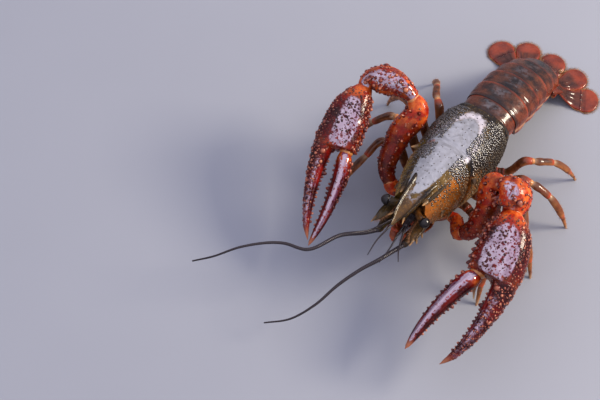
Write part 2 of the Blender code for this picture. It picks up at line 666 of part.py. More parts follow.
def add_mouthparts():
    """Add the plate over the mouth, the two jaws, and the outer mouth limbs that cover them."""
    front_y = TIP_Y + FACE_AT - GAP
    rings = []
    outline = np.array([(x, 0.0, z - EPISTOME_MIDDLE_Z) for x, z in EPISTOME_OUTLINE])
    for depth, scale in ((0.0, 1.0), (0.6, 0.9), (1.0, 0.5)):
        middle = np.array([0.0, front_y - depth * EPISTOME_DEPTH, EPISTOME_MIDDLE_Z])
        rings.append(outline * scale + middle)
    add_loft("epistome", rings, "shell")
    down = unit((0.0, -0.64, -0.77))
    for name, side in (("left", 1.0), ("right", -1.0)):
        root = np.array(JAW_ROOT) * np.array([side, 1.0, 1.0])
        path = root + down * JAW_LENGTH * np.array([0.0, 0.35, 0.7, 1.0])[:, None]
        wide = np.array([1.2, 1.45, 1.15, 0.5])
        add_loft("mandible_" + name, tube_rings(path, wide, wide, 8), "leg")
    for name, side in (("left", 1.0), ("right", -1.0)):
        flip = np.array([side, 1.0, 1.0])
        middle = np.array([(2.25, -10.0, 11.2), (2.35, -13.8, 12.9), (2.35, -17.2, 15.0), (2.2, -19.9, 16.6),
                           (2.0, -21.3, 15.4)]) * flip
        widths = (1.6, 2.0, 2.0, 1.8, 1.5, 1.2, 0.5)
        wide = smooth(np.linspace(0.0, 1.0, len(widths)), widths, np.linspace(0.0, 1.0, 12))
        start = ((side * 2.3, BELLY_FRONT_Y - GAP, 9.9), (0.0, -1.0, 0.0))
        end = ((side * 1.8, -21.5, 12.9), (0.0, -0.1, -1.0))
        rings, _ = limb_rings(start, middle, end, wide * 0.8, wide, 8, (1.0, 0.0, 0.0))
        add_loft("maxilliped_" + name, rings, "leg")


def bent(u, v, inward):
    """Map a place along and across the claw to the same place on its inward curve."""
    u = np.asarray(u, float)
    v = np.asarray(v, float)
    reach = CLAW_LENGTH - BEND_FROM
    rate = math.radians(inward) / reach
    angle = np.maximum(0.0, u - BEND_FROM) * rate
    along = np.minimum(u, BEND_FROM) + np.sin(angle) / rate
    across = (1.0 - np.cos(angle)) / rate
    return along - v * np.sin(angle), across + v * np.cos(angle), angle


class ClawFrame:
    """The claw's own directions: along to the tips, across to the body side, up from its back."""

    def __init__(self, side, arm):
        self.origin = np.asarray(arm["wrist"], float)
        self.along = unit(arm["reach"])
        level = unit(np.cross((0.0, 0.0, 1.0), self.along))
        across = level if level[0] * side < 0 else -level
        tilt = math.radians(arm["tilt"])
        up = np.cross(across, self.along)
        up = up if up[2] > 0 else -up
        self.across = unit(across * math.cos(tilt) - up * math.sin(tilt))
        self.up = unit(up * math.cos(tilt) + across * math.sin(tilt))
        self.inward = arm["inward"]
        self.girth = arm["girth"]

    def place(self, u, v, n):
        """Return the world place of a point of the bent claw."""
        along, across, _ = bent(u, np.asarray(v, float) * self.girth, self.inward)
        n = np.asarray(n, float) * self.girth
        return (self.origin + along[..., None] * self.along + across[..., None] * self.across
                + n[..., None] * self.up)


def claw_outline(outer, inner, high, low, sides=14):
    """Return the across and up values of a claw's ring between its outer and inner edge."""
    a, b = oval(sides, 2.2)
    middle = (outer + inner) / 2.0
    half = (inner - outer) / 2.0
    return middle + half * a, np.where(b > 0, b * high, b * low)


PALM_AT = (0.0, 2.5, 7.0, 13.0, 18.0, 20.6, 21.8, 26.5, 32.5, 38.5, 44.0, 48.0, 50.0, 50.8)
PALM_OUTER = (-3.2, -5.4, -7.7, -8.7, -8.8, -8.6, -8.5, -8.0, -7.0, -5.9, -4.7, -3.4, -2.3, -1.7)
PALM_INNER = (3.2, 4.4, 6.2, 7.5, 7.8, 7.5, -0.8, -1.4, -1.8, -1.9, -1.8, -1.5, -1.3, -1.3)
PALM_HIGH = (3.0, 4.0, 5.0, 5.6, 5.4, 4.9, 4.4, 3.7, 3.1, 2.5, 1.9, 1.2, 0.6, 0.3)
PALM_LOW = (2.8, 3.6, 4.6, 5.2, 5.0, 4.6, 4.1, 3.5, 2.9, 2.3, 1.7, 1.0, 0.5, 0.3)


def add_palm(name, frame, draw):
    """Add the palm with the fixed finger, its edge teeth and its bumps."""
    rings = []
    for u, outer, inner, high, low in zip(PALM_AT, PALM_OUTER, PALM_INNER, PALM_HIGH, PALM_LOW):
        v, n = claw_outline(outer, inner, high, low)
        rings.append(frame.place(np.full(len(v), u + GAP), v, n))
    palm = add_loft("claw_palm_" + name, rings, "claw")
    pieces = []
    for k in range(6):
        u = 4.5 + 2.7 * k
        v = float(np.interp(u, PALM_AT, PALM_INNER)) - 0.35
        pieces.append(claw_spine(frame, (u, v, 1.4), (u + 0.9, v + 1.7, 2.1), 0.95))
    for k in range(5):
        u = 24.5 + 4.6 * k
        v = float(np.interp(u, PALM_AT, PALM_INNER)) - 0.25
        size = 1.0 if k == 1 else 0.7
        pieces.append(claw_spine(frame, (u, v, 0.0), (u, v + 1.2 * size, 0.1), 0.85 * size))
    for row in range(5):
        for column in range(2):
            u = 5.0 + 4.3 * row + draw.uniform(-0.7, 0.7)
            high = float(np.interp(u, PALM_AT, PALM_HIGH))
            v = (-4.6, 1.6)[column] + draw.uniform(-0.7, 0.7) - (u > 20.0) * 3.2
            rise = high * (1.0 - (abs(v + 0.5) / 9.0) ** 2.2) ** (1.0 / 2.2)
            pieces.append(claw_spine(frame, (u, v, rise - 0.2), (u + 0.3, v, rise + 0.75), 0.75))
    fuse(palm, pieces)


def claw_spine(frame, root, tip, radius):
    """Return a spine between two places of the claw."""
    start = frame.place(*(np.array(value) for value in root))
    end = frame.place(*(np.array(value) for value in tip))
    return cone_mesh(start, end, radius)


DACTYL_AT = (0.0, 1.5, 4.5, 9.0, 14.5, 20.0, 25.0, 28.2, 29.7, 30.2)
DACTYL_OUTER = (-2.6, -3.0, -2.7, -2.3, -2.0, -1.7, -1.4, -1.1, -0.8, -0.5)
DACTYL_INNER = (2.2, 2.9, 3.2, 3.0, 2.6, 2.1, 1.4, 0.7, 0.3, 0.0)
DACTYL_HIGH = (2.8, 3.4, 3.4, 3.0, 2.6, 2.1, 1.5, 0.9, 0.5, 0.3)


def add_dactyl(name, frame, opening):
    """Add the movable finger, turned open round its hinge at the palm's inner corner."""
    hinge = np.array(DACTYL_HINGE) * np.array([1.0, frame.girth]) + np.array([GAP, 0.0])
    hinge_along, hinge_across, turn = bent(hinge[0], hinge[1], frame.inward)
    turn = float(turn) + math.radians(opening)
    curl = math.radians(-14.0) / DACTYL_LENGTH

    def place(d, v, n):
        angle = np.asarray(d, float) * curl
        v = np.asarray(v, float) * frame.girth
        along = np.sin(angle) / curl - v * np.sin(angle)
        across = (1.0 - np.cos(angle)) / curl + v * np.cos(angle)
        u = hinge_along + along * math.cos(turn) - across * math.sin(turn)
        w = hinge_across + along * math.sin(turn) + across * math.cos(turn)
        return (frame.origin + u[..., None] * frame.along + w[..., None] * frame.across
                + (np.asarray(n, float) * frame.girth)[..., None] * frame.up)

    rings = []
    for d, outer, inner, high in zip(DACTYL_AT, DACTYL_OUTER, DACTYL_INNER, DACTYL_HIGH):
        v, n = claw_outline(outer, inner, high, high * 0.92, 12)
        rings.append(place(np.full(len(v), d + 0.6), v, n))
    dactyl = add_loft("claw_dactyl_" + name, rings, "claw")
    pieces = []
    for k in range(5):
        d = 4.6 + 4.2 * k
        v = float(np.interp(d, DACTYL_AT, DACTYL_OUTER)) + 0.25
        size = 1.0 if k == 2 else 0.7
        root = place(np.array(d), np.array(v), np.array(0.0))
        tip = place(np.array(d), np.array(v - 1.2 * size), np.array(0.1))
        pieces.append(cone_mesh(root, tip, 0.8 * size))
    for k in range(6):
        d = 2.8 + 3.1 * k
        v = float(np.interp(d, DACTYL_AT, DACTYL_INNER)) - 0.4
        root = place(np.array(d), np.array(v), np.array(1.0))
        tip = place(np.array(d + 0.7), np.array(v + 1.3), np.array(1.5))
        pieces.append(cone_mesh(root, tip, 0.75))
    fuse(dactyl, pieces)


def limb_spines(path, radii, places, height, radius):
    """Return spines on a limb: each place is a share of its length and a direction to point in."""
    pieces = []
    shares = np.linspace(0.0, 1.0, len(path))
    for share, direction in places:
        centre = smooth(shares, path, np.array([share]))[0]
        reach = float(np.interp(share, shares, radii))
        direction = unit(direction)
        root = centre + direction * (reach - 0.3)
        pieces.append(cone_mesh(root, centre + direction * (reach + height), radius))
    return pieces


def add_arm(name, side, arm):
    """Add the claw arm's base, upper arm and wrist piece."""
    coxa = np.array(COXA) * np.array([side, 1.0, 1.0])
    shoulder, elbow, wrist = (np.array(arm[key]) for key in ("shoulder", "elbow", "wrist"))
    frame = ClawFrame(side, arm)
    shoulder_way = between(coxa, shoulder, elbow)
    elbow_way = between(shoulder, elbow, wrist)
    hinge_line = np.cross(elbow - shoulder, wrist - elbow)

    rings, _ = limb_rings((coxa, (side, 0.0, 0.0)), [], (shoulder - shoulder_way * GAP / 2.0, shoulder_way),
                          np.array([1.7, 2.1, 2.3, 2.4, 2.2]), np.array([1.6, 2.1, 2.4, 2.5, 2.2]), 10,
                          (0.0, 1.0, 0.0))
    add_loft("claw_base_" + name, rings, "claw")

    deep = np.array([2.2, 2.7, 3.2, 3.6, 4.0, 4.1, 3.6, 2.5])
    middle = (shoulder + elbow) / 2.0 + np.array([side * MERUS_BOW, 0.0, 0.0])
    rings, path = limb_rings((shoulder + shoulder_way * GAP / 2.0, shoulder_way), [middle],
                             (elbow - elbow_way * GAP / 2.0, elbow_way), deep, deep * 0.84, 12,
                             hinge_line, 1.8)
    merus = add_loft("claw_merus_" + name, rings, "claw")
    forward = np.array([0.0, -1.0, 0.4])
    rows = [(0.24 + 0.13 * k, forward + np.array([-side * 0.5, 0.0, 0.0])) for k in range(4)]
    rows += [(0.28 + 0.13 * k, forward + np.array([side * 0.6, 0.0, 0.0])) for k in range(3)]
    rows += [(0.62, (-side * 0.4, 1.0, 0.5)), (0.5, (side * 0.3, 1.0, 0.2))]
    fuse(merus, limb_spines(path, deep * 0.9, rows, 1.3, 0.8))

    wide = np.array([2.5, 3.3, 4.5, 5.5, 5.7, 5.1, 4.0, 3.0]) * frame.girth
    rings, path = limb_rings((elbow + elbow_way * GAP / 2.0, elbow_way), [], (wrist, frame.along),
                             wide * 0.92, wide, 12, hinge_line, arm["lead"])
    carpus = add_loft("claw_carpus_" + name, rings, "claw")
    high = wide * 0.92
    inner = unit(frame.across)
    rows = [(0.35, inner + frame.up * 0.5), (0.62, inner), (0.78, inner + frame.along * 0.6)]
    rows += [(0.3, frame.up - inner * 0.3), (0.5, frame.up + inner * 0.3), (0.68, frame.up - inner * 0.6),
             (0.5, frame.up - inner * 0.9), (0.8, frame.up)]
    fuse(carpus, limb_spines(path, high, rows, 1.3, 0.85))


def add_claws():
    """Add both claw arms with palms and fingers."""
    for name, side in (("left", 1.0), ("right", -1.0)):
        arm = ARMS[name]
        frame = ClawFrame(side, arm)
        add_arm(name, side, arm)
        add_palm(name, frame, random.Random(SEED + 2))
        add_dactyl(name, frame, arm["open"])


def add_legs():
    """Add the four pairs of walking legs, each in an upper and a lower piece."""
    for name, side in (("left", 1.0), ("right", -1.0)):
        for k in range(4):
            root = np.array([side * LEG_ROOT_X, LEG_ROOT_YS[k], LEG_ROOT_Z])
            knee = np.array(LEG_KNEES[name][k])
            foot = np.array(LEG_FEET[name][k])
            thick = LEG_THICKNESS[k]
            knee_way = between(root, knee, foot)
            swing = np.cross(knee - root, foot - knee)
            hip = root + np.array([side * 5.2, (knee[1] - root[1]) * 0.3, -0.1])
            radii = thick * np.array([0.86, 0.95, 0.95, 1.0, 1.05, 1.05, 1.0, 0.8])
            rings, _ = limb_rings((root, (side, 0.0, 0.0)), [hip], (knee - knee_way * GAP / 2.0, knee_way),
                                  radii, radii * 0.8, 8, swing)
            add_loft("leg_%d_upper_%s" % (k + 1, name), rings, "leg")

            drop = foot - knee
            bulge = unit(np.array([drop[0], drop[1], 0.0]))
            wrist = knee + drop * 0.30 + bulge * 2.2 + np.array([0.0, 0.0, 2.0])
            hand = knee + drop * 0.72 + bulge * 1.6 + np.array([0.0, 0.0, 1.4])
            radii = thick * np.array([0.8, 0.95, 0.85, 0.8, 0.85, 0.9, 0.88, 0.8, 0.62, 0.46, 0.34, 0.26])
            rings, path = limb_rings((knee + knee_way * GAP / 2.0, knee_way), [wrist, hand],
                                     (foot - np.array([0.0, 0.0, 0.8]), foot - hand), radii,
                                     radii * 0.8, 8, swing)
            lower = add_loft("leg_%d_lower_%s" % (k + 1, name), rings, "leg")
            if k < 2:
                fork = path[7] + np.array([0.0, 0.0, 0.2])
                tip = path[10] + np.array([-side * 1.1, -0.3, 0.5])
                finger = route((fork, (fork + tip) / 2.0 + np.array([-side * 0.9, 0.0, 0.2]), tip), 5)
                slim = thick * np.array([0.5, 0.5, 0.42, 0.32, 0.22])
                fuse(lower, [loft_mesh("finger", tube_rings(finger, slim, slim, 6))])
            flatten_below(lower)


def centre_on_floor():
    """Slide everything so that the middle of the whole stands over the origin."""
    corners = []
    for thing in bpy.data.objects:
        corners += [thing.matrix_world @ Vector(corner) for corner in thing.bound_box]
    shift = Vector((
        -(min(c.x for c in corners) + max(c.x for c in corners)) / 2.0,
        -(min(c.y for c in corners) + max(c.y for c in corners)) / 2.0,
        -min(c.z for c in corners)))
    for thing in bpy.data.objects:
        thing.location = thing.location + shift


def main():
    """Build the whole animal."""
    clear_scene()
    add_head()
    add_thorax()
    add_belly()
    add_tail()
    add_tail_fan()
    add_eyes()
    add_feelers()
    add_mouthparts()
    add_claws()
    add_legs()
    bpy.context.view_layer.update()
    centre_on_floor()


main()
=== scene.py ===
# %% [markdown]
# # A red swamp crayfish, life size
# The animal stands on its eight walking legs and holds both claws up and forward. It was packed
# as plain solids first. Here each solid gets a finely shaped skin, and the skins get wet, mottled
# shell finishes. Sizes are in millimetres, counted from the middle of the body on the floor. The
# animal faces -Y, and its left side is at +X.

# %% The frame
import json
import math

import bpy
import numpy as np
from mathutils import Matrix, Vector

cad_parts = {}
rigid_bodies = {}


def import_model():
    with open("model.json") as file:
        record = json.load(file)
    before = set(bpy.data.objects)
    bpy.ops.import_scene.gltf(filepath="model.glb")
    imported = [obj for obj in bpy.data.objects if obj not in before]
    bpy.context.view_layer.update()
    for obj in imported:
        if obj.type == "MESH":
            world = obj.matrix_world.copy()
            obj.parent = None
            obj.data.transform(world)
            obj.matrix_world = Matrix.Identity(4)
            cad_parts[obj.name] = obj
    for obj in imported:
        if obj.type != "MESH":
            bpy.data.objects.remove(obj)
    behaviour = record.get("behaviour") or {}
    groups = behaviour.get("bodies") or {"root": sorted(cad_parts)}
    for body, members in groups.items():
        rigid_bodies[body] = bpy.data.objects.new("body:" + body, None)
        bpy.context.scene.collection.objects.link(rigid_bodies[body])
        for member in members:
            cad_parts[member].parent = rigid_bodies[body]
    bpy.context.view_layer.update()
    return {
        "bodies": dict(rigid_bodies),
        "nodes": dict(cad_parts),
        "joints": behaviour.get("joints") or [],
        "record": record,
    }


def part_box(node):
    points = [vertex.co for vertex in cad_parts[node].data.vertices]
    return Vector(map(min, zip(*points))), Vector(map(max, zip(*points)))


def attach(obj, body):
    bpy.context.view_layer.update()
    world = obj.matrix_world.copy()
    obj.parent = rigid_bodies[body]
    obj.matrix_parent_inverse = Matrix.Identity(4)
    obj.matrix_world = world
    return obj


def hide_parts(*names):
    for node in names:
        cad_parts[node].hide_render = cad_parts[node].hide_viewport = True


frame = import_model()
MM = 0.001
PI = math.pi
SIDES = (("left", 1), ("right", -1))
BELLY_TOP_MIDDLE = np.array([0.0, 8.75, 11.5])
low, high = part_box("thorax_underside")
SHIFT = np.array([(low[0] + high[0]) / 2, (low[1] + high[1]) / 2, high[2]]) / MM - BELLY_TOP_MIDDLE
print("the packed model is shifted by", SHIFT.round(3), "mm")

# %% [markdown]
# ## Curves and grids
# Every skin here is a grid of rings: one ring of points for each step along the piece. That could
# be done with curve objects and bevels, but a grid of numbers can be bent, swollen and grooved by
# plain formulas, so grids are used throughout.

# %% Directions and smooth curves
def unit(v):
    """Each vector divided by its length."""
    v = np.asarray(v, float)
    return v / np.maximum(np.linalg.norm(v, axis=-1, keepdims=True), 1e-12)


def hermite(x, y, slopes, s):
    """Between two stations: a cubic that leaves and arrives with the given slopes."""
    s = np.clip(np.asarray(s, float), x[0], x[-1])
    i = np.clip(np.searchsorted(x, s, side="right") - 1, 0, len(x) - 2)
    span = x[i + 1] - x[i]
    t = (s - x[i]) / span
    if y.ndim > 1:
        t, span = t[..., None], span[..., None]
    curve = y[i] + (y[i + 1] - y[i]) * t * t * (3 - 2 * t)
    return curve + span * (slopes[i] * t * (1 - t) ** 2 - slopes[i + 1] * t * t * (1 - t))


def shares(count):
    """Evenly spaced numbers from 0 to 1."""
    return np.linspace(0, 1, count)


def smooth(stations, values, s):
    """The curve through the values whose slope at each is the mean slope beside it."""
    x, y = np.asarray(stations, float), np.asarray(values, float)
    return hermite(x, y, np.gradient(y, x, axis=0), s)


def even(values, t):
    """The smooth curve through values that stand at even steps from 0 to 1."""
    return smooth(shares(len(values)), values, t)


def steady(stations, values, s):
    """The curve through the values that never swings past them: flat at each turn."""
    x, y = np.asarray(stations, float), np.asarray(values, float)
    step = np.diff(y) / np.diff(x)
    both, total = step[:-1] * step[1:], step[:-1] + step[1:]
    inner = np.where(both > 0, 2 * both / np.where(both > 0, total, 1.0), 0.0)
    return hermite(x, y, np.concatenate([[step[0]], inner, [step[-1]]]), s)


def route(points, count):
    """Evenly spaced points on the smooth curve through the given ones."""
    points = np.asarray(points, float)
    lengths = np.linalg.norm(np.diff(points, axis=0), axis=1)
    stations = np.concatenate([[0.0], np.cumsum(lengths)])
    return smooth(stations, points, np.linspace(0.0, stations[-1], count))


def hill(x, middle, width):
    """A bell: 1 at the middle and falling off by the square of the distance."""
    return np.exp(-((np.asarray(x, float) - middle) / width) ** 2)


def step_up(x, start, end):
    """0 before the start, 1 after the end, and an S between them."""
    t = np.clip((np.asarray(x, float) - start) / (end - start), 0.0, 1.0)
    return t * t * (3 - 2 * t)


def plateau(x, rise, top, edge, fall):
    """0, then 1 from the top to the edge, then 0 again: a step up times a step down."""
    return step_up(x, rise, top) * (1 - step_up(x, edge, fall))


# %% Rings along a path
def oval(angle, squareness=2.0):
    """Across = sin and up = cos, each raised to 2/squareness: an oval that can be boxy."""
    power = 2.0 / squareness
    a, u = np.sin(angle), np.cos(angle)
    return np.sign(a) * np.abs(a) ** power, np.sign(u) * np.abs(u) ** power


def turn(count):
    """The angles of the points of a ring, from its top round by +across."""
    return np.arange(count) * 2 * PI / count


def tube_rings(path, across, up, sides, lift=(0.0, 0.0, 1.0), squareness=2.0):
    """Round each path point: point + side * across * sin + top * up * cos."""
    path = np.asarray(path, float)
    forward = unit(np.gradient(path, axis=0))
    side = unit(np.cross(forward, np.asarray(lift, float)))
    top = np.cross(side, forward)
    a, u = (share[:, None] for share in oval(turn(sides), squareness))
    across, up = (np.broadcast_to(np.asarray(size, float), len(path))[:, None, None]
                  for size in (across, up))
    return path[:, None] + side[:, None] * a * across + top[:, None] * u * up


def outward(rings):
    """Out of the skin: the cross product of its two slopes, turned away from each ring's middle."""
    around = np.roll(rings, -1, axis=1) - np.roll(rings, 1, axis=1)
    along = np.gradient(rings, axis=0)
    out = unit(np.cross(around, along))
    away = rings - rings.mean(axis=1, keepdims=True)
    return out if (out * away).sum() > 0 else -out


def pick(values, row, column):
    """Read a grid between its points: a mean of the four neighbours, weighted by nearness."""
    row = np.clip(np.asarray(row, float), 0, len(values) - 1.001)
    i, j = np.floor(row).astype(int), np.floor(column).astype(int)
    a, b = (row - i)[:, None], (column - j)[:, None]
    n = values.shape[1]
    j, k = j % n, (j + 1) % n
    here = values[i, j] * (1 - b) + values[i, k] * b
    return here * (1 - a) + (values[i + 1, j] * (1 - b) + values[i + 1, k] * b) * a


def on_skin(rings, row, column):
    """Places on a skin, and the way out of it at each."""
    return pick(rings, row, column), pick(outward(rings), row, column)


def on_path(path, row):
    """Points on a path, at steps that may lie between its own."""
    return pick(path[:, None], row, np.zeros(len(row)))


# %% [markdown]
# ## Blocks
# A block is one closed surface: points, faces, and named numbers on its points that the finishes
# read later, such as how near a tip a point is. Rings become a block when both ends are closed by
# a dome and a last fan of triangles. Many small knobs become one block from a single template.

# %% Faces, and blocks from rings
def closed(points, quads, tris, marks):
    """A block whose faces point out: if its signed volume is negative, every face is turned."""
    a, b, c, d = (points[quads[:, corner]] for corner in range(4))
    volume = (np.cross(a, b) * c).sum() + (np.cross(a, c) * d).sum()
    a, b, c = (points[tris[:, corner]] for corner in range(3))
    volume += (np.cross(a, b) * c).sum()
    if volume < 0:
        quads, tris = quads[:, ::-1], tris[:, ::-1]
    return {"points": points, "quads": quads, "tris": tris, "marks": marks}


def ring_faces(rows, n):
    """Faces between neighbouring rings of n points, and a fan round each of the two last points."""
    j = np.arange(n)
    k = (j + 1) % n
    i = np.arange(rows - 1)[:, None] * n
    quads = np.stack([i + j, i + k, i + n + k, i + n + j], -1).reshape(-1, 4)
    near = np.stack([np.full(n, rows * n), k, j], -1)
    far = np.stack([np.full(n, rows * n + 1), (rows - 1) * n + j, (rows - 1) * n + k], -1)
    return quads, np.concatenate([near, far])


def tube(rings, start, end, steps=5, **marks):
    """Close rings at both ends: each end ring shrinks by cos while it moves out by depth * sin."""
    rings = np.asarray(rings, float)
    m, n = rings.shape[:2]
    grow = np.sin(np.linspace(0, PI / 2, steps + 1)[1:-1])[:, None, None]
    shrink = np.sqrt(1 - grow ** 2)

    def cap(ring, inner, depth):
        """The dome's rings, and its pole, beyond one end ring."""
        middle = ring.mean(axis=0)
        out = unit(middle - inner.mean(axis=0))
        return middle + (ring - middle) * shrink + out * depth * grow, middle + out * depth

    first, first_pole = cap(rings[0], rings[1], start)
    last, last_pole = cap(rings[-1], rings[-2], end)
    whole = np.concatenate([first[::-1], rings, last])
    points = np.concatenate([whole.reshape(-1, 3), [first_pole, last_pole]])
    values = {}
    for name, mark in marks.items():
        mark = np.asarray(mark, float)
        mark = np.broadcast_to(mark if mark.ndim == 2 else mark.reshape(-1, 1), (m, n))
        mark = np.pad(mark, ((len(first), len(last)), (0, 0)), mode="edge")
        values[name] = np.concatenate([mark.ravel(), [mark[0].mean(), mark[-1].mean()]])
    return closed(points, *ring_faces(len(whole), n), values)


# %% Blocks of knobs and spines
SUNK = 0.45
SLENDER = 0.94


def knobs(places, ways, radius, height, sides=7, sharp=0.0, draw=None, levels=4, **marks):
    """One dome or spine for each place, pointing its way: a ring of radius r at each height z.

    For a dome r = cos and z = sin of the same angle, for a spine r shrinks evenly with z, and
    sharp mixes the two. The lowest ring is sunk in the skin.
    """
    places, ways = np.asarray(places, float), unit(ways)
    count = len(places)
    angle, share = (np.linspace(0, end, levels + 1)[:-1] for end in (PI / 2, 1))
    rise = np.append(-SUNK, (1 - sharp) * np.sin(angle) + sharp * share)
    reach = (1 - sharp) * np.cos(angle) + sharp * (1 - share * SLENDER)
    reach = np.append(reach[0] * (1 + 0.3 * sharp), reach)
    steep = np.abs(ways[:, 2:]) < 0.8
    across = unit(np.cross(ways, np.where(steep, [0.0, 0, 1], [0.0, 1, 0])))
    around = turn(sides)[:, None]
    ring = across[:, None] * np.sin(around) + np.cross(ways, across)[:, None] * np.cos(around)
    radius, height = (np.broadcast_to(np.asarray(size, float), count)[:, None, None, None]
                      for size in (radius, height))
    rings = places[:, None, None] + radius * reach[:, None, None] * ring[:, None]
    rings = rings + height * rise[:, None, None] * ways[:, None, None]
    poles = places[:, None] + ways[:, None] * np.array([[-0.5], [1.0]]) * height[:, 0]
    points = np.concatenate([rings.reshape(count, -1, 3), poles], axis=1)
    size = points.shape[1]
    offset = np.arange(count)[:, None, None] * size
    quads, tris = ((offset + faces).reshape(-1, faces.shape[1])
                   for faces in ring_faces(levels + 1, sides))
    crown = np.concatenate([np.repeat(np.clip(rise, 0, 1), sides), [0.0, 1.0]])
    tone = (draw or np.random.default_rng(5)).random(count)
    values = {"crown": np.tile(crown, count), "tone": np.repeat(tone, size)}
    for name, mark in marks.items():
        values[name] = np.repeat(np.broadcast_to(np.asarray(mark, float), count), size)
    return closed(points.reshape(-1, 3), quads, tris, values)


# %% Even scatter and finished pieces
EVEN_STEPS = np.array([0.7548776662, 0.5698402910])
MARKS = ("warm", "tip", "dark", "gloss", "crown", "tone")
PAINTS = {}


def scatter(count, seed, jitter=0.25):
    """Pairs of numbers in 0..1 that cover the square evenly: whole multiples of two fixed steps."""
    spots = ((np.arange(count)[:, None] + 0.5 + seed * 37) * EVEN_STEPS) % 1.0
    draw = np.random.default_rng(seed)
    return (spots + draw.normal(0, jitter / math.sqrt(count), spots.shape)) % 1.0


def piece(name, blocks, replaces=()):
    """Make one object of (block, finish) pairs, in metres, riding on the body of the model.

    The faces go into the mesh in one list of corners, fours before threes. No point goes below
    the floor.
    """
    starts = np.cumsum([0] + [len(block["points"]) for block, _ in blocks])
    points = (np.concatenate([block["points"] for block, _ in blocks]) + SHIFT) * MM
    points[:, 2] = np.maximum(points[:, 2], 0.0)
    quads, tris = (np.concatenate([block[kind] + start
                                   for (block, _), start in zip(blocks, starts)])
                   for kind in ("quads", "tris"))
    loops = np.concatenate([quads.ravel(), tris.ravel()])
    begins = np.append(np.arange(len(quads)) * 4, len(quads) * 4 + np.arange(len(tris)) * 3)
    mesh = bpy.data.meshes.new(name)
    mesh.vertices.add(len(points))
    mesh.vertices.foreach_set("co", points.ravel())
    mesh.loops.add(len(loops))
    mesh.loops.foreach_set("vertex_index", loops.astype(np.int32))
    mesh.polygons.add(len(begins))
    mesh.polygons.foreach_set("loop_start", begins.astype(np.int32))
    finishes = list(dict.fromkeys(finish for _, finish in blocks))
    for finish in finishes:
        mesh.materials.append(PAINTS[finish])
    index = [np.full(len(block[kind]), finishes.index(finish))
             for kind in ("quads", "tris") for block, finish in blocks]
    mesh.polygons.foreach_set("material_index", np.concatenate(index).astype(np.int32))
    for mark in MARKS:
        values = [b["marks"].get(mark, np.zeros(len(b["points"]))) for b, _ in blocks]
        layer = mesh.attributes.new(mark, "FLOAT", "POINT")
        layer.data.foreach_set("value", np.concatenate(values).astype(np.float32))
    mesh.update(calc_edges=True)
    mesh.validate()
    mesh.shade_smooth()
    thing = bpy.data.objects.new(name, mesh)
    bpy.context.scene.collection.objects.link(thing)
    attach(thing, "root")
    if replaces:
        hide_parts(*replaces)
    print("%-18s %6d triangles" % (name, 2 * len(quads) + len(tris)))


# %% [markdown]
# ## Finishes
# A crayfish's shell is dull pigment under a clear, wet skin. The pigment could be painted by hand,
# but noise in real millimetres gives the mottling, and the marks on the points say where a piece
# turns warm, dark or pale. The wet skin is the shader's coat. Where the shield and the claws are
# wettest, a pale painted reflection of the sky is laid into their colour as well, and a pale
# painted highlight rings the shield's wet heart. Fine pits come from a bump.

# %% Shader maths
class Wire:
    """A socket of a finish's nodes that can be added, taken off and multiplied."""

    def __init__(self, paint, socket):
        self.paint, self.socket = paint, socket

    def maths(self, operation, first, second):
        """One Math node on two wires or numbers."""
        return self.paint.node("Math", {"operation": operation}, {0: first, 1: second})

    def __add__(self, other):
        return self.maths("ADD", self, other)

    def __sub__(self, other):
        return self.maths("SUBTRACT", self, other)

    def __rsub__(self, other):
        return self.maths("SUBTRACT", other, self)

    def __mul__(self, other):
        return self.maths("MULTIPLY", self, other)

    __radd__, __rmul__ = __add__, __mul__


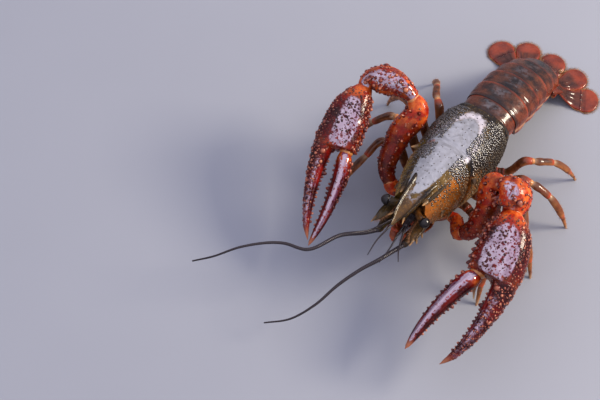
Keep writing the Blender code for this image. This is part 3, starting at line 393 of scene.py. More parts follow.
# %% One finish and its nodes
class Paint:
    """One finish. Its nodes come from node(): a type, its settings, and its sockets' values."""

    def __init__(self, name, owner=None, shader="Principled BSDF", **sockets):
        PAINTS[name] = owner = owner or bpy.data.materials.new(name)
        owner.use_nodes = True
        self.tree = owner.node_tree
        self.shader = self.tree.nodes[shader]
        for socket, value in sockets.items():
            self.give(socket.replace("_", " "), value)

    def feed(self, socket, value):
        """Link a wire to a socket, or set the socket to a number or a colour."""
        if isinstance(value, Wire):
            self.tree.links.new(value.socket, socket)
        elif isinstance(value, tuple):
            socket.default_value = (*value, 1.0)
        else:
            socket.default_value = value

    def give(self, socket, value):
        """Feed one of the shader's own sockets."""
        self.feed(self.shader.inputs[socket], value)

    def node(self, kind, settings=None, sockets=None, output=0):
        """Any node: its type, its settings, then the values or wires of its sockets."""
        node = self.tree.nodes.new("ShaderNode" + kind)
        for name, value in (settings or {}).items():
            setattr(node, name, value)
        for name, value in (sockets or {}).items():
            self.feed(node.inputs[name], value)
        return Wire(self, node.outputs[output])

    def mark(self, name):
        """One of the named numbers on the points."""
        return self.node("Attribute", {"attribute_name": name}, output="Fac")

    def place(self):
        """Where a point is, in metres: the Object coordinates."""
        return self.node("TexCoord", output="Object")

    def across(self):
        """How far left a point of the animal is, in metres: the first Object coordinate."""
        return self.node("SeparateXYZ", sockets={0: self.place()})

    def noise(self, millimetres, detail=2.0):
        """Cloudy 0..1 values whose clouds are about that many millimetres wide."""
        return self.node("TexNoise", sockets={
            "Vector": self.place(), "Scale": 1 / (millimetres * MM),
            "Detail": detail, "Roughness": 0.55})

    def cells(self, millimetres, randomness=1.0):
        """The distance to the nearest of many scattered points."""
        return self.node("TexVoronoi", sockets={
            "Vector": self.place(), "Scale": 1 / (millimetres * MM), "Randomness": randomness})

    def between(self, value, start, end, to_start=0.0, to_end=1.0):
        """Turn start..end into to_start..to_end along an S, and stay level outside."""
        return self.node("MapRange", {"interpolation_type": "SMOOTHSTEP"},
                         {0: value, 1: start, 2: end, 3: to_start, 4: to_end})

    def mix(self, first, second, share):
        """The first colour where the share is 0, the second where it is 1."""
        return self.node("Mix", {"data_type": "RGBA"}, {0: share, 6: first, 7: second}, output=2)

    def layers(self, ground, *coats):
        """Lay coats of (colour, share) over the ground, one after another."""
        for colour, share in coats:
            ground = self.mix(ground, colour, share)
        return ground

    def wet(self, grain_mm, full, dry=0.03, heart=2.0):
        """Full coat where the mark "gloss" says so, ragged at its edge and broken by dry blots.

        Where gloss is above the heart value, the blots are left out. Returns the wet share, by
        which the shield and the claws lay a painted reflection into their colour.
        """
        ragged = (self.noise(2.6, 4.0) - 0.5) * 0.9
        gloss = self.mark("gloss") + ragged + (self.noise(0.8, 2.0) - 0.5) * 0.5
        blots = self.between(self.noise(grain_mm, 3.0), 0.40, 0.50)
        blots = blots.maths("MAXIMUM", blots, self.between(gloss, heart, heart + 0.25))
        share = self.between(gloss, 0.32, 0.80) * blots
        self.give("Coat Weight", share * full + dry)
        return share

    def bump(self, height, depth_mm):
        """Raise and lower the light's normal by the height, of which 1 is depth_mm."""
        self.give("Normal", self.node("Bump", sockets={
            "Height": height, "Distance": depth_mm * MM, "Strength": 1.0}))

    def pitted(self, pits, fine, swell_mm):
        """Small pits, finer grain and slow swells of about that width, in one bump."""
        self.bump(pits + fine * 0.3 + self.noise(swell_mm) * 0.9, 0.12)


# %% The back shield's finish
WET = {"Coat_Weight": 0.08, "Coat_Roughness": 0.07, "Coat_IOR": 3.6, "IOR": 1.45,
       "Specular_IOR_Level": 0.22}

shell = Paint("shell", **WET)
mottle, fine = shell.noise(5.0, 4.0), shell.noise(0.9, 3.0)
olive, rust = (0.22, 0.150, 0.026), (0.36, 0.120, 0.020)
flank = shell.mix(olive, rust, shell.between(shell.across() * 40, -0.2, 0.3))
# ring: the painted highlight round the wet heart, read from the mark crown and made ragged by noise
ring = shell.mark("crown") + (shell.noise(1.2, 3.0) - 0.5) * 1.3
shell.give("Base Color", shell.layers(
    (0.026, 0.017, 0.008),
    ((0.130, 0.078, 0.020), shell.between(mottle, 0.36, 0.62)),
    (flank, shell.mark("warm") * shell.between(mottle, 0.25, 0.65, 0.45, 1.0)),
    ((0.010, 0.008, 0.008), shell.mark("dark") * shell.between(fine, 0.3, 0.6, 0.6, 1.0)),
    ((0.32, 0.22, 0.10), shell.mark("tip")),
    ((0.22, 0.14, 0.05), shell.between(shell.cells(0.75), 0.16, 0.34, 1.0, 0.0) * 0.3),
    # painted highlight: a pale lavender-grey rim round the wet heart
    ((0.46, 0.43, 0.47), shell.between(ring, 0.15, 1.0, 0.0, 0.9)),
    # painted reflection: a pale grey where the coat is wet, for the sky mirrored there
    ((0.15, 0.145, 0.15), shell.wet(0.9, 0.62, 0.03, 0.50))))
shell.give("Roughness", shell.between(fine, 0.3, 0.7, 0.12, 0.34))
shell.pitted(shell.cells(0.55) * 0.5, fine, 2.5)

grain = Paint("grain", **WET)
tone, crown = grain.mark("tone"), grain.mark("crown")
dull = grain.mix((0.020, 0.016, 0.014), (0.060, 0.043, 0.026), tone)
bright = grain.mix((0.14, 0.075, 0.03), (0.42, 0.24, 0.10), tone)
warmth = grain.mark("warm") * grain.between(crown, 0.1, 0.9, 0.3, 1.0)
grain.give("Base Color", grain.mix(dull, bright, warmth))
grain.give("Roughness", grain.noise(0.4) * 0.3 + 0.25)
topped = grain.mark("gloss") * grain.between(crown, 0.45, 0.8, 0.0, 0.4)
grain.give("Coat Weight", topped + 0.03)

# %% [markdown]
# The claws are a deep maroon that turns bright red and orange at the wrist, with paler raised
# knobs. The knobs get a finish of their own, whose mark "crown" is 0 at their root and 1 on top.

# %% The claws' finish
claw = Paint("claw", **WET)
mottle, fine = claw.noise(6.0, 4.0), claw.noise(0.7, 3.0)
red, orange = (0.38, 0.029, 0.009), (0.64, 0.15, 0.028)
bright = claw.mix(red, orange, claw.between(claw.noise(2.2, 3.0), 0.38, 0.64))
claw.give("Base Color", claw.layers(
    (0.030, 0.0022, 0.0026),
    ((0.18, 0.009, 0.006), claw.between(mottle, 0.34, 0.62)),
    (bright, claw.mark("warm") * claw.between(mottle, 0.25, 0.6, 0.3, 1.0)),
    ((0.014, 0.002, 0.003), claw.mark("dark") * claw.between(fine, 0.35, 0.6, 0.5, 0.95)),
    ((0.36, 0.15, 0.08), claw.mark("tip")),
    ((0.42, 0.085, 0.03), claw.between(claw.cells(0.85), 0.10, 0.30, 1.0, 0.0) * 0.30),
    # painted reflection: a pale lavender-pink where the coat is wet, for the sky mirrored there
    ((0.15, 0.05, 0.10), claw.wet(1.0, 0.8, heart=1.1))))
claw.give("Roughness", claw.between(fine, 0.3, 0.7, 0.12, 0.36))
claw.pitted(claw.cells(0.6) * 0.5, fine, 2.2)

knob = Paint("knob", Coat_Weight=0.15, Coat_Roughness=0.15)
tone = knob.mark("tone")
top = knob.between(knob.mark("crown"), 0.25, 1.0) * knob.between(tone, 0.15, 0.75, 0.25, 1.0)
pale = knob.mix((0.27, 0.042, 0.022), (0.48, 0.19, 0.10), tone)
deep = knob.mix((0.045, 0.003, 0.003), (0.12, 0.006, 0.004), tone)
knob.give("Base Color", knob.layers(deep, (pale, top), ((0.030, 0.004, 0.005), knob.mark("dark"))))
knob.give("Roughness", knob.noise(0.4) * 0.3 + 0.22)

# %% [markdown]
# The tail rings are dark with a redder flap at each side. The legs are orange-brown. The soft skin
# in the joints is a pale orange, the feelers are dark, and the eyes are black beads.

# %% The other finishes
tail = Paint("tail", **WET)
mottle, fine = tail.noise(3.5, 4.0), tail.noise(0.7, 3.0)
tail.give("Base Color", tail.layers(
    (0.020, 0.013, 0.010),
    ((0.105, 0.038, 0.018), tail.between(mottle, 0.36, 0.64)),
    ((0.36, 0.050, 0.018), tail.mark("warm") * tail.between(mottle, 0.2, 0.7, 0.5, 1.0)),
    ((0.010, 0.008, 0.009), tail.mark("dark") * 0.85),
    ((0.50, 0.26, 0.13), tail.mark("tip"))))
tail.wet(1.2, 0.3, 0.06)
tail.give("Roughness", tail.between(fine, 0.3, 0.7, 0.15, 0.38))
tail.pitted(tail.between(tail.cells(0.9), 0.0, 0.22) * 0.4, fine, 2.8)

leg = Paint("leg", **WET)
mottle = leg.noise(2.2, 4.0)
leg.give("Base Color", leg.layers(
    (0.17, 0.045, 0.012),
    ((0.40, 0.15, 0.042), leg.between(mottle, 0.38, 0.62)),
    ((0.060, 0.022, 0.012), leg.mark("dark") * leg.between(mottle, 0.35, 0.6, 0.35, 1.0)),
    ((0.50, 0.06, 0.018), leg.mark("warm")),
    ((0.55, 0.38, 0.22), leg.mark("tip"))))
leg.give("Roughness", leg.noise(0.5) * 0.35 + 0.26)
leg.bump(leg.noise(0.35, 2.0) * 0.4 + leg.noise(1.4) * 0.6, 0.10)

membrane = Paint("membrane", Coat_Weight=0.6, Coat_Roughness=0.15)
cloudy = membrane.noise(1.2, 3.0)
membrane.give("Base Color", membrane.mix((0.36, 0.12, 0.03), (0.58, 0.26, 0.08), cloudy))
membrane.give("Roughness", membrane.noise(0.6) * 0.3 + 0.3)
membrane.bump(membrane.noise(0.5, 3.0), 0.15)

feeler = Paint("feeler", **WET)
banded = feeler.mark("warm") * 0.7 + feeler.noise(1.5) * 0.3
feeler.give("Base Color", feeler.mix((0.011, 0.009, 0.011), (0.044, 0.030, 0.031), banded))
feeler.give("Roughness", feeler.noise(0.5) * 0.3 + 0.3)

hair = Paint("hair")
hair.give("Base Color", hair.mix((0.16, 0.06, 0.025), (0.40, 0.20, 0.09), hair.mark("tone")))
hair.give("Roughness", hair.mark("tone") * 0.2 + 0.5)

eye = Paint("eye", Coat_Weight=0.2, Coat_Roughness=0.05, IOR=1.42)
facets = eye.cells(0.11, randomness=0.2)
black, brown = (0.0035, 0.003, 0.003), (0.013, 0.009, 0.007)
eye.give("Base Color", eye.mix(black, brown, eye.between(facets, 0.2, 0.6)))
eye.give("Roughness", facets * 0.15 + 0.16)
eye.bump(1 - facets, 0.004)

belly = Paint("belly", Coat_Weight=0.6, Coat_Roughness=0.15)
mottle = belly.noise(2.5, 3.0)
belly.give("Base Color", belly.layers(
    (0.24, 0.10, 0.045),
    ((0.42, 0.24, 0.12), belly.between(mottle, 0.35, 0.65)),
    ((0.20, 0.045, 0.018), belly.mark("warm"))))
belly.give("Roughness", mottle * 0.3 + 0.3)
belly.bump(belly.noise(0.6, 3.0), 0.12)
print(len(PAINTS), "finishes:", ", ".join(PAINTS))

# %% [markdown]
# ## The back shield
# The shield is one plate from the eyes to the tail. A furrow across it marks the neck, two fine
# grooves meet along the middle of the back behind the furrow, and a raised border runs round its
# rear. A sculpted mesh would do, but here each of these is a term in one height formula that moves
# the plain oval form in or out along its own normal.

# %% The shield's plain form
TIP_Y = -26.0
SHELL_LENGTH = 52.0
SHELL_AT = (10.5, 14.0, 18.0, 24.0, 30.0, 36.0, 42.0, 47.0, 52.0)
SHELL_HALF_WIDTH = (6.0, 7.5, 8.7, 10.1, 11.0, 11.5, 11.4, 10.7, 9.4)
SHELL_TOP = (32.0, 32.5, 33.0, 33.7, 34.0, 33.8, 33.0, 31.6, 29.4)
SHELL_BOTTOM = (19.5, 16.6, 14.6, 13.0, 12.2, 11.9, 12.2, 13.2, 15.0)
ROUND_ABOVE, BOXY_BELOW = 2.3, 2.9
FACE_AT = 10.5
FACE_Y = TIP_Y + FACE_AT
ROSTRUM_TIP_Z = 31.2


def shell_point(s, angle):
    """An oval at each distance s from the rostrum's tip, boxier below the middle than above."""
    s, angle = np.broadcast_arrays(np.asarray(s, float), angle)
    wide, top, low = (smooth(SHELL_AT, v, s) for v in (SHELL_HALF_WIDTH, SHELL_TOP, SHELL_BOTTOM))
    across, rise = oval(angle, np.where(np.cos(angle) > 0, ROUND_ABOVE, BOXY_BELOW))
    return np.stack([wide * across, s + TIP_Y, (top + low) / 2 + (top - low) / 2 * rise], -1)


def groove_at(a):
    """The neck furrow's distance from the tip: rearmost on the ridge, forward down the sides."""
    return 33.0 - 15.0 * np.sin(a / 2) ** 2


def shell_relief(s, angle):
    """Height of the shield's relief: furrows taken away from swellings, in millimetres."""
    a = np.abs(angle)
    x = np.abs(shell_point(s, angle)[..., 0])
    low_fade = 1 - step_up(a, 1.9, 2.3)
    flank = step_up(a, 0.5, 1.1)
    neck = -(0.35 + 0.5 * flank) * hill(s, groove_at(a), 1.25 - 0.4 * flank) * low_fade
    split = 0.25 + 2.6 * step_up(36.5 - s, -3.0, 3.5) + 2.2 * step_up(s, 45.0, 51.5)
    midline = -0.35 * hill(x, split, 0.38) * step_up(s, 34.0, 36.0) * (a < 1.0)
    gills = 0.35 * hill(a, 1.0, 0.6) * plateau(s, 32, 38, 46, 52)
    stomach = 0.45 * hill(x, 0.0, 4.5) * hill(s, 24.5, 5.0)
    cheek = 0.35 * hill(a, 1.45, 0.3) * hill(s, 22.0, 3.5)
    cheek_line = -0.3 * hill(s, 20.0 + 2.2 * a, 0.5) * hill(a, 1.75, 0.35)
    rear = -0.42 * hill(s, 49.9, 0.45) * low_fade + 0.12 * step_up(s, 50.3, 50.9)
    hem = -0.35 * hill(a, 2.28, 0.05) * step_up(s, 15, 18) + 0.15 * hill(a, 2.42, 0.07)
    uneven = 0.06 * np.sin(s * 1.7 + 3 * a) * np.sin(a * 9 + s * 0.6)
    return neck + midline + gills + stomach + cheek + cheek_line + rear + hem + uneven


def face_edge(a):
    """The shield's front margin: hollowed for the eye, then running back towards the mouth."""
    eye_hollow = 1.1 * hill(a, 0.62, 0.3) - 0.5 * hill(a, 1.15, 0.2)
    return FACE_AT + eye_hollow + 3.5 * step_up(a, 1.7, 2.6)


# %% The shield's skin
SHELL_ROWS, SHELL_COLUMNS = 190, 160
angle = turn(SHELL_COLUMNS)
angle = np.where(angle > PI, angle - 2 * PI, angle)[None]
front = face_edge(np.abs(angle))
rear = SHELL_LENGTH - 0.9 * hill(angle, 0, 0.5) - 4.5 * step_up(np.abs(angle), 1.5, 2.6) ** 1.5
S = front + (rear - front) * shares(SHELL_ROWS)[:, None]
A = np.abs(np.broadcast_to(angle, S.shape))
plain = shell_point(S, angle)
shell_rings = plain + outward(plain) * shell_relief(S, angle)[..., None]
X = shell_rings[..., 0]
print("shield: %d rings of %d points, %.1f mm wide" % (*S.shape, np.ptp(X)))

# %% [markdown]
# The marks paint the shield. The wet heart is an oval on the back whose coat mirrors the sky; its
# colour is painted a pale grey there too, as a painted reflection. A pale ring of painted highlight
# runs round it, strongest behind it and on its left. The cheeks are warm, in a band that climbs
# higher on the left and reaches further back on the right. The rear of the flanks, the neck furrow
# and a line along each side of the back are dark. A painted image could say all this too, but
# formulas in the shield's own length and angle stay sharp at any size.

# %% The shield's marks
on_right = X < 0
cheek = 1 - np.where(on_right, step_up(S, 31, 39), step_up(S, 24, 31))
lift = cheek * np.where(on_right, 0.15, 0.45)
above_hem = 1 - step_up(A, 2.0, 2.4)
side_band = plateau(A, 0.9 - lift, 1.3 - lift, 1.9, 2.3)
warm = side_band * (1 - 0.8 * step_up(S, 28, 44)) + 0.35 * hill(A, 2.1, 0.25)
rear_flank = 0.95 * step_up(S, 27, 42) * step_up(A, 0.35, 0.7) * (1 - 0.6 * cheek * on_right)
neck = hill(S, groove_at(A), 0.8) * np.where(on_right, 0.4, 0.8)
shoulder = np.where(on_right, 0.8 * hill(A, 0.72, 0.10), (0.75 - 0.6 * cheek) * hill(A, 0.9, 0.22))
dark = np.clip((rear_flank + neck + shoulder) * above_hem, 0, 1)
dark = np.maximum(dark, 0.85 * step_up(S, 45.5, 48.0) * above_hem)
# The wet heart: a full coat, and under it a pale grey painted reflection in the colour
heart_x, heart_wide = -1.3 * (1 - step_up(S, 24, 38)), 5.2 + 1.4 * step_up(S, 22, 34)
heart_s, heart_long = 28.8, 17.2
reach = np.sqrt(((X - heart_x) / heart_wide) ** 2 + ((S - heart_s) / heart_long) ** 2)
heart = 1 - step_up(reach, 0.85, 1.1)
# A painted highlight: a pale rim just outside the wet heart, strongest behind it and on its left
round_ring = 0.3 + step_up(X, -2.0, 2.0) + 0.5 * step_up(S, 29, 35) + step_up(S, 38, 45)
painted_highlight_rim = hill(reach, 1.05, 0.13) * np.clip(round_ring, 0, 1) * step_up(S, 22, 30)
print("the wet heart takes %.0f %% of the shield's points" % (100 * np.mean(heart > 0.5)))
# The mark crown carries the painted highlight rim, and gloss the wet heart's coat and painted
# reflection
blocks = [(tube(shell_rings, -1.2, -1.0, warm=warm, dark=dark, tip=0.7 * step_up(A, 2.3, 2.5),
                gloss=heart, crown=np.clip(painted_highlight_rim, 0, 1)), "shell")]

# %% The shield's grains
draw = np.random.default_rng(3)


def grains(count, seed, rows, columns, radius, height):
    """Scatter small domes over part of the shield, and leave them out of its furrows."""
    spots = scatter(count, seed)
    row = (rows[0] + (rows[1] - rows[0]) * spots[:, 0]) * (SHELL_ROWS - 1)
    column = (columns[0] + (columns[1] - columns[0]) * spots[:, 1]) * SHELL_COLUMNS / (2 * PI)
    place, way = on_skin(shell_rings, row, column)
    s = place[:, 1] - TIP_Y
    a = np.abs((column * 2 * PI / SHELL_COLUMNS + PI) % (2 * PI) - PI)
    kept = (np.abs(s - groove_at(a)) > 1.1) & (s > 0) & (s < 49.3)
    size = radius * np.exp(draw.normal(0, 0.16, len(s)))
    warm = plateau(a, 0.8, 1.2, 2.0, 2.4) * (1 - step_up(s, 24, 36))
    return knobs(place[kept], way[kept], size[kept], (size * height)[kept], draw=draw,
                 warm=warm[kept], gloss=step_up(way[kept, 2], 0.35, 0.8)), "grain"


# The grains are two pieces of their own, to keep every piece under 200,000 triangles.
grain_blocks = {"left": [], "right": []}
for seed, (name, count, rows, columns, radius, height) in enumerate((
        ("left", 1500, (0.32, 1.0), (0.32, 2.2), 0.34, 0.75),
        ("right", 1500, (0.32, 1.0), (-2.2, -0.32), 0.34, 0.75),
        ("left", 110, (0.05, 0.95), (-0.4, 0.4), 0.19, 0.4),
        ("left", 260, (0.04, 0.45), (0.5, 2.1), 0.27, 0.7),
        ("right", 260, (0.04, 0.45), (-2.1, -0.5), 0.27, 0.7)), start=1):
    grain_blocks[name].append(grains(count, seed, rows, columns, radius, height))

# %% [markdown]
# The rostrum is a flat beam with raised edges that run on over the head as two low ridges. It
# starts at the tip and sinks into the shield well behind the eyes, so no joint shows.

# %% The rostrum
s = np.linspace(0.35, 20.5, 90)[:, None]
half = smooth((0, 1.5, 3.0, 4.2, 7.5, 11.0, 15.0, 21.0),
              (0.2, 0.7, 1.25, 1.9, 2.7, 3.25, 3.8, 4.3), s)
top = np.interp(s, (0, FACE_AT, 15, 20.5), (ROSTRUM_TIP_Z, 32.25, 32.7, 32.55))
thick = smooth((0, 3.0, 7.5, 11.0, 21.0), (0.5, 1.15, 1.7, 2.0, 2.0), s)
a, u = oval(turn(40), 2.6)
edge = 0.62 * np.clip(half / 2, 0.3, 1)
ridge = edge * hill(np.abs(a), 0.83, 0.16) - 0.42 * edge * hill(a, 0.0, 0.55)
ridge = ridge * (1 - step_up(s, 16.5, 20.5))
z = top + np.where(u > 0, ridge + (u - 1) * 0.5 * edge, -0.25 + u * thick)
rings = np.stack([half * a, s + TIP_Y + 0 * z, z], -1)
on_edge = hill(np.abs(a), 0.85, 0.2) * (u > 0)
valley = (1 - on_edge) * (u > 0) * (1 - step_up(s, 10, 18))
# The valley's gloss gives a wet coat and the shield's pale grey painted reflection in the colour
blocks.append((tube(rings, 0.35, 0.0, dark=0.9 * on_edge + 0.6 * valley, warm=0.3 * valley,
                    gloss=0.62 * valley * step_up(s, 6.0, 11.0), tip=0.22 * hill(s, 0, 2.0)[:, 0]),
               "shell"))

# %% The head's block, its two low ridges and its spines
t = shares(30)
path = np.stack([0 * t, -9.0 - 7.0 * t, 23.9 + 0.4 * t], -1)
rings = tube_rings(path, 4.7 - 1.0 * t ** 3, 4.3 - 0.9 * t ** 3, 40, squareness=2.8)
blocks.append((tube(rings, 0.5, 0.7, dark=0.55, warm=0.25), "shell"))
roots, tips = [], []
for _, side in SIDES:
    path = route([shell_point(k, side * 0.60) for k in (12.0, 14.0, 17.0, 20.0, 23.0)], 40)
    wide = smooth((0, 0.25, 0.6, 1), (0.35, 0.70, 0.55, 0.1), shares(40))
    blocks.append((tube(tube_rings(path, wide, wide * 0.7, 14), 0.8, 0.0, dark=0.8), "shell"))
    roots.append((side * 1.75, 4.0 + TIP_Y, ROSTRUM_TIP_Z))
    tips.append((side * 2.75, 1.6 + TIP_Y, ROSTRUM_TIP_Z + 0.5))
    for root_s, root_a, tip_s, tip_a, out, up in (
            (12.4, 0.6, 10.4, 0.62, 0.3, 1.0), (16.0, 1.55, 14.6, 1.6, 1.1, 0.2),
            (19.5, 1.85, 18.2, 1.9, 1.0, 0), (29.6, 1.25, 28.2, 1.27, 1.7, 0.5)):
        roots.append(shell_point(root_s, side * root_a))
        tips.append(shell_point(tip_s, side * tip_a) + [side * out, 0, up])
roots, tips = np.array(roots), np.array(tips)
radii = np.tile([0.45, 0.7, 0.75, 0.7, 0.85], 2)
height = np.linalg.norm(tips - roots, axis=1)
blocks.append((knobs(roots, tips - roots, radii, height, 10, 0.8, levels=7, warm=1), "grain"))
piece("carapace", blocks, ("head_shell", "thorax_shell"))
for name, _ in SIDES:
    piece("shield_grains_" + name, grain_blocks[name])

# %% [markdown]
# ## The tail
# Each tail ring is a hoop: a high arch, a flap hanging at each side, and a flat belly. The rear
# rim of a ring lies over the front of the next. One outline, carried along the ring with a scale
# for each step, gives all of that, and the flaps narrow towards their ends like tongues.

# %% The tail's axis
TERGITE_LENGTHS = (4.2, 6.6, 6.9, 6.9, 6.5, 7.6)
TERGITE_HALF_WIDTHS = (8.9, 9.7, 9.7, 9.3, 8.7, 7.6)
TERGITE_RISES = (6.0, 6.4, 6.2, 5.8, 5.2, 4.3)
PLEURA_DROPS = (3.6, 6.6, 6.4, 6.0, 5.4, 4.2)
BELLY_DROP = 3.0
FLAP_MIDDLE = 0.58


def tail_axis(y=26.35, z=22.6, first_pitch=6, more_pitch=38, steps=24):
    """Walk down the tail in small steps while its pitch grows: y, z and pitch at ring ends."""
    done, total, joints = 0.0, sum(TERGITE_LENGTHS), [(y, z, math.radians(first_pitch))]
    for length in TERGITE_LENGTHS:
        for _ in range(steps):
            done += length / steps
            pitch = math.radians(first_pitch + more_pitch * (done / total) ** 1.2)
            y, z = y + math.cos(pitch) * length / steps, z - math.sin(pitch) * length / steps
        joints.append((y, z, pitch))
    return joints


JOINTS = tail_axis()
print("the tail's last ring ends %.1f mm up, pitched %.0f degrees down"
      % (JOINTS[-1][1], math.degrees(JOINTS[-1][2])))


# %% One tail ring
def hoop(k, t):
    """A ring's closed outline at each share t: across, up, and how far down a flap it is."""
    half, rise, drop = TERGITE_HALF_WIDTHS[k], TERGITE_RISES[k], PLEURA_DROPS[k]
    arch = np.linspace(-PI / 2, PI / 2, 81)
    flap = route([(0, 0), (-0.005, -0.35), (-0.055, -0.8), (-0.13, -1.0), (-0.18, -0.86),
                  (-0.21, -0.66)], 16)[1:]
    right = np.stack([half * (1 + flap[:, 0]), drop * flap[:, 1]], -1)
    right = np.concatenate([right, [(half * 0.6, -BELLY_DROP), (half * 0.25, -BELLY_DROP)]])
    over = np.stack([half * np.sin(arch), rise * np.cos(arch)], -1)
    x, up = np.concatenate([over, right, right[::-1] * [-1, 1]]).T
    scale = np.interp(t, (0, 0.12, 0.3, 0.75, 0.9, 1.0), (0.95, 0.957, 0.988, 1.0, 1.008, 0.996))
    scale = (scale * (1 - 0.016 * hill(t, 0.27, 0.05)))[:, None]
    down = np.clip(-up / drop, 0, 1) * (np.abs(x) > half * 0.7)
    return x * scale, np.where(up > 0, up * scale, up), down


def tail_ring(k):
    """Carry the outline along the axis, and draw the flaps' edges together at their tips."""
    t = shares(40)
    x, up, down = hoop(k, t)
    (y0, z0, p0), (y1, z1, p1) = JOINTS[k], JOINTS[k + 1]
    first, last = -0.35 if k == 0 else -0.02, 1.04 if k < 5 else 0.98
    place = first + (last - first) * t[:, None]
    place = FLAP_MIDDLE + (place - FLAP_MIDDLE) * (1 - 0.72 * down ** 1.6)
    pitch = p0 + (p1 - p0) * place
    points = np.stack([x, y0 + (y1 - y0) * place + np.sin(pitch) * up,
                       z0 + (z1 - z0) * place + np.cos(pitch) * up], -1)
    t = t[:, None]
    side = np.clip(np.abs(x) / TERGITE_HALF_WIDTHS[k], 0, 1) ** 3
    under = (up < -BELLY_DROP * 0.6) & (down < 0.5)
    warm = np.clip(0.25 * side + 1.1 * down, 0, 1) + 0.35 * hill(t, 0.93, 0.05)
    dark = np.clip(hill(x, 0, 3.6) * 0.75 + hill(t, 0.05, 0.12) * 0.8, 0, 1) * (up > 0)
    middle = plateau(t, 0.2, 0.4, 0.8, 0.95)
    return tube(points, -0.5, -0.6, warm=np.clip(warm, 0, 1), dark=dark, tip=0.75 * under,
                gloss=0.6 * (up > 0) * hill(x, 0, 5.0) * middle)


# %% [markdown]
# Under rings two to five hangs a pair of swimmerets, small two-bladed paddles with a hair fringe.
# The first ring has a pair of slim rods instead, as on a male.

# %% Swimmerets, rods and hair
def hairs(roots, ways, length, radius=0.055, *, seed):
    """Fine three-sided spines, each a little longer or shorter and turned a little aside."""
    draw = np.random.default_rng(seed)
    ways = unit(unit(ways) + draw.normal(0, 0.12, np.shape(ways)))
    size = length * draw.uniform(0.7, 1.15, len(roots))
    return knobs(roots, ways, radius, size, 3, 1.0, draw, levels=2), "hair"


def paddle(path, across, up, lift):
    """A flat blade along a path, and a fringe of hair round its outer half."""
    count = 26
    path, t = route(path, count), shares(count)
    rings = tube_rings(path, across, even(up, t), 14, lift)
    rows = np.linspace(9, 25, count)
    ahead = on_path(unit(np.gradient(path, axis=0)), rows)
    made = [(tube(rings, 0.2, 0.4, warm=t * 0.6, tip=0.35), "tail")]
    for column in (0, 7):
        root = pick(rings, rows, np.full(count, float(column)))
        made.append(hairs(root, root - on_path(path, rows) + ahead, 1.2, seed=column))
    return made


def swimmerets(k, length):
    """A stalk and two blades on each side of the ring's belly, trailing back."""
    y, z, pitch = (sum(pair) / 2 for pair in zip(JOINTS[k], JOINTS[k + 1]))
    back = np.array([0.0, math.cos(pitch), -math.sin(pitch)])
    down = np.array([0.0, -math.sin(pitch), -math.cos(pitch)])
    lift = (1.0, 0, 0)
    made = []
    for _, side in SIDES:
        out = np.array([side, 0.0, 0.0])
        root = np.array([0, y, z]) + out * TERGITE_HALF_WIDTHS[k] * 0.44 + down * BELLY_DROP
        knee = root + down * length * 0.3 + out * 0.3
        stalk = route([root - down * 0.8, root + down * length * 0.12, knee], 14)
        wide = even((0.75, 0.62, 0.8), shares(14))
        made.append((tube(tube_rings(stalk, wide, 0.7, 12, lift), 0.2, 0.5, warm=0.3, tip=0.5),
                     "tail"))
        for spread in (-1.0, 1.0):
            path = [knee - down * 0.5 + out * spread * 0.25,
                    knee + down * length * 0.26 + back * length * 0.16 + out * spread * 0.8,
                    knee + down * length * 0.5 + back * length * 0.5 + out * spread * 0.9]
            made += paddle(path, 0.32, (0.4, 0.9, 1.15, 1.0, 0.35), lift)
    return made


def rods():
    """The male's pair of rods, bent forward under the body, with a horny tip."""
    y, z, _ = (sum(pair) / 2 for pair in zip(JOINTS[0], JOINTS[1]))
    t = shares(40)
    thick = smooth((0, 0.3, 0.6, 0.85, 1), (0.8, 0.72, 0.75, 0.5, 0.22), t)
    made = []
    for _, side in SIDES:
        path = route([(side * 2.4, y, z - 2.0), (side * 2.2, y - 0.3, z - 6.0),
                      (side * 1.7, y - 1.6, z - 9.0), (side * 1.4, y - 4.2, z - 10.2)], 40)
        rings = tube_rings(path, thick, thick, 12, (1.0, 0, 0))
        made.append((tube(rings, 0.3, 0.2, tip=1 - t * 0.6, warm=t), "tail"))
    return made


for k, length in enumerate((0.0, 9.0, 9.0, 8.0, 6.0, 0.0)):
    blocks = [(tail_ring(k), "tail")]
    if k == 0:
        blocks += rods()
    elif length:
        blocks += swimmerets(k, length)
    piece("tail_ring_%d" % (k + 1), blocks, ("pleon_%d" % (k + 1),))

# %% [markdown]
# The tail fan is five blades: a middle one and two pairs. Each is a lens-shaped plate with a
# rounded end, raised ribs and a hair fringe. The middle blade and the outer two have a toothed
# joint across them.

# %% One blade of the fan
GAP = 0.35
FAN_ROUND_FROM = 0.78
FAN_ROOT_DEPTH = 1.3
FAN_ROWS, FAN_SIDES = 72, 80


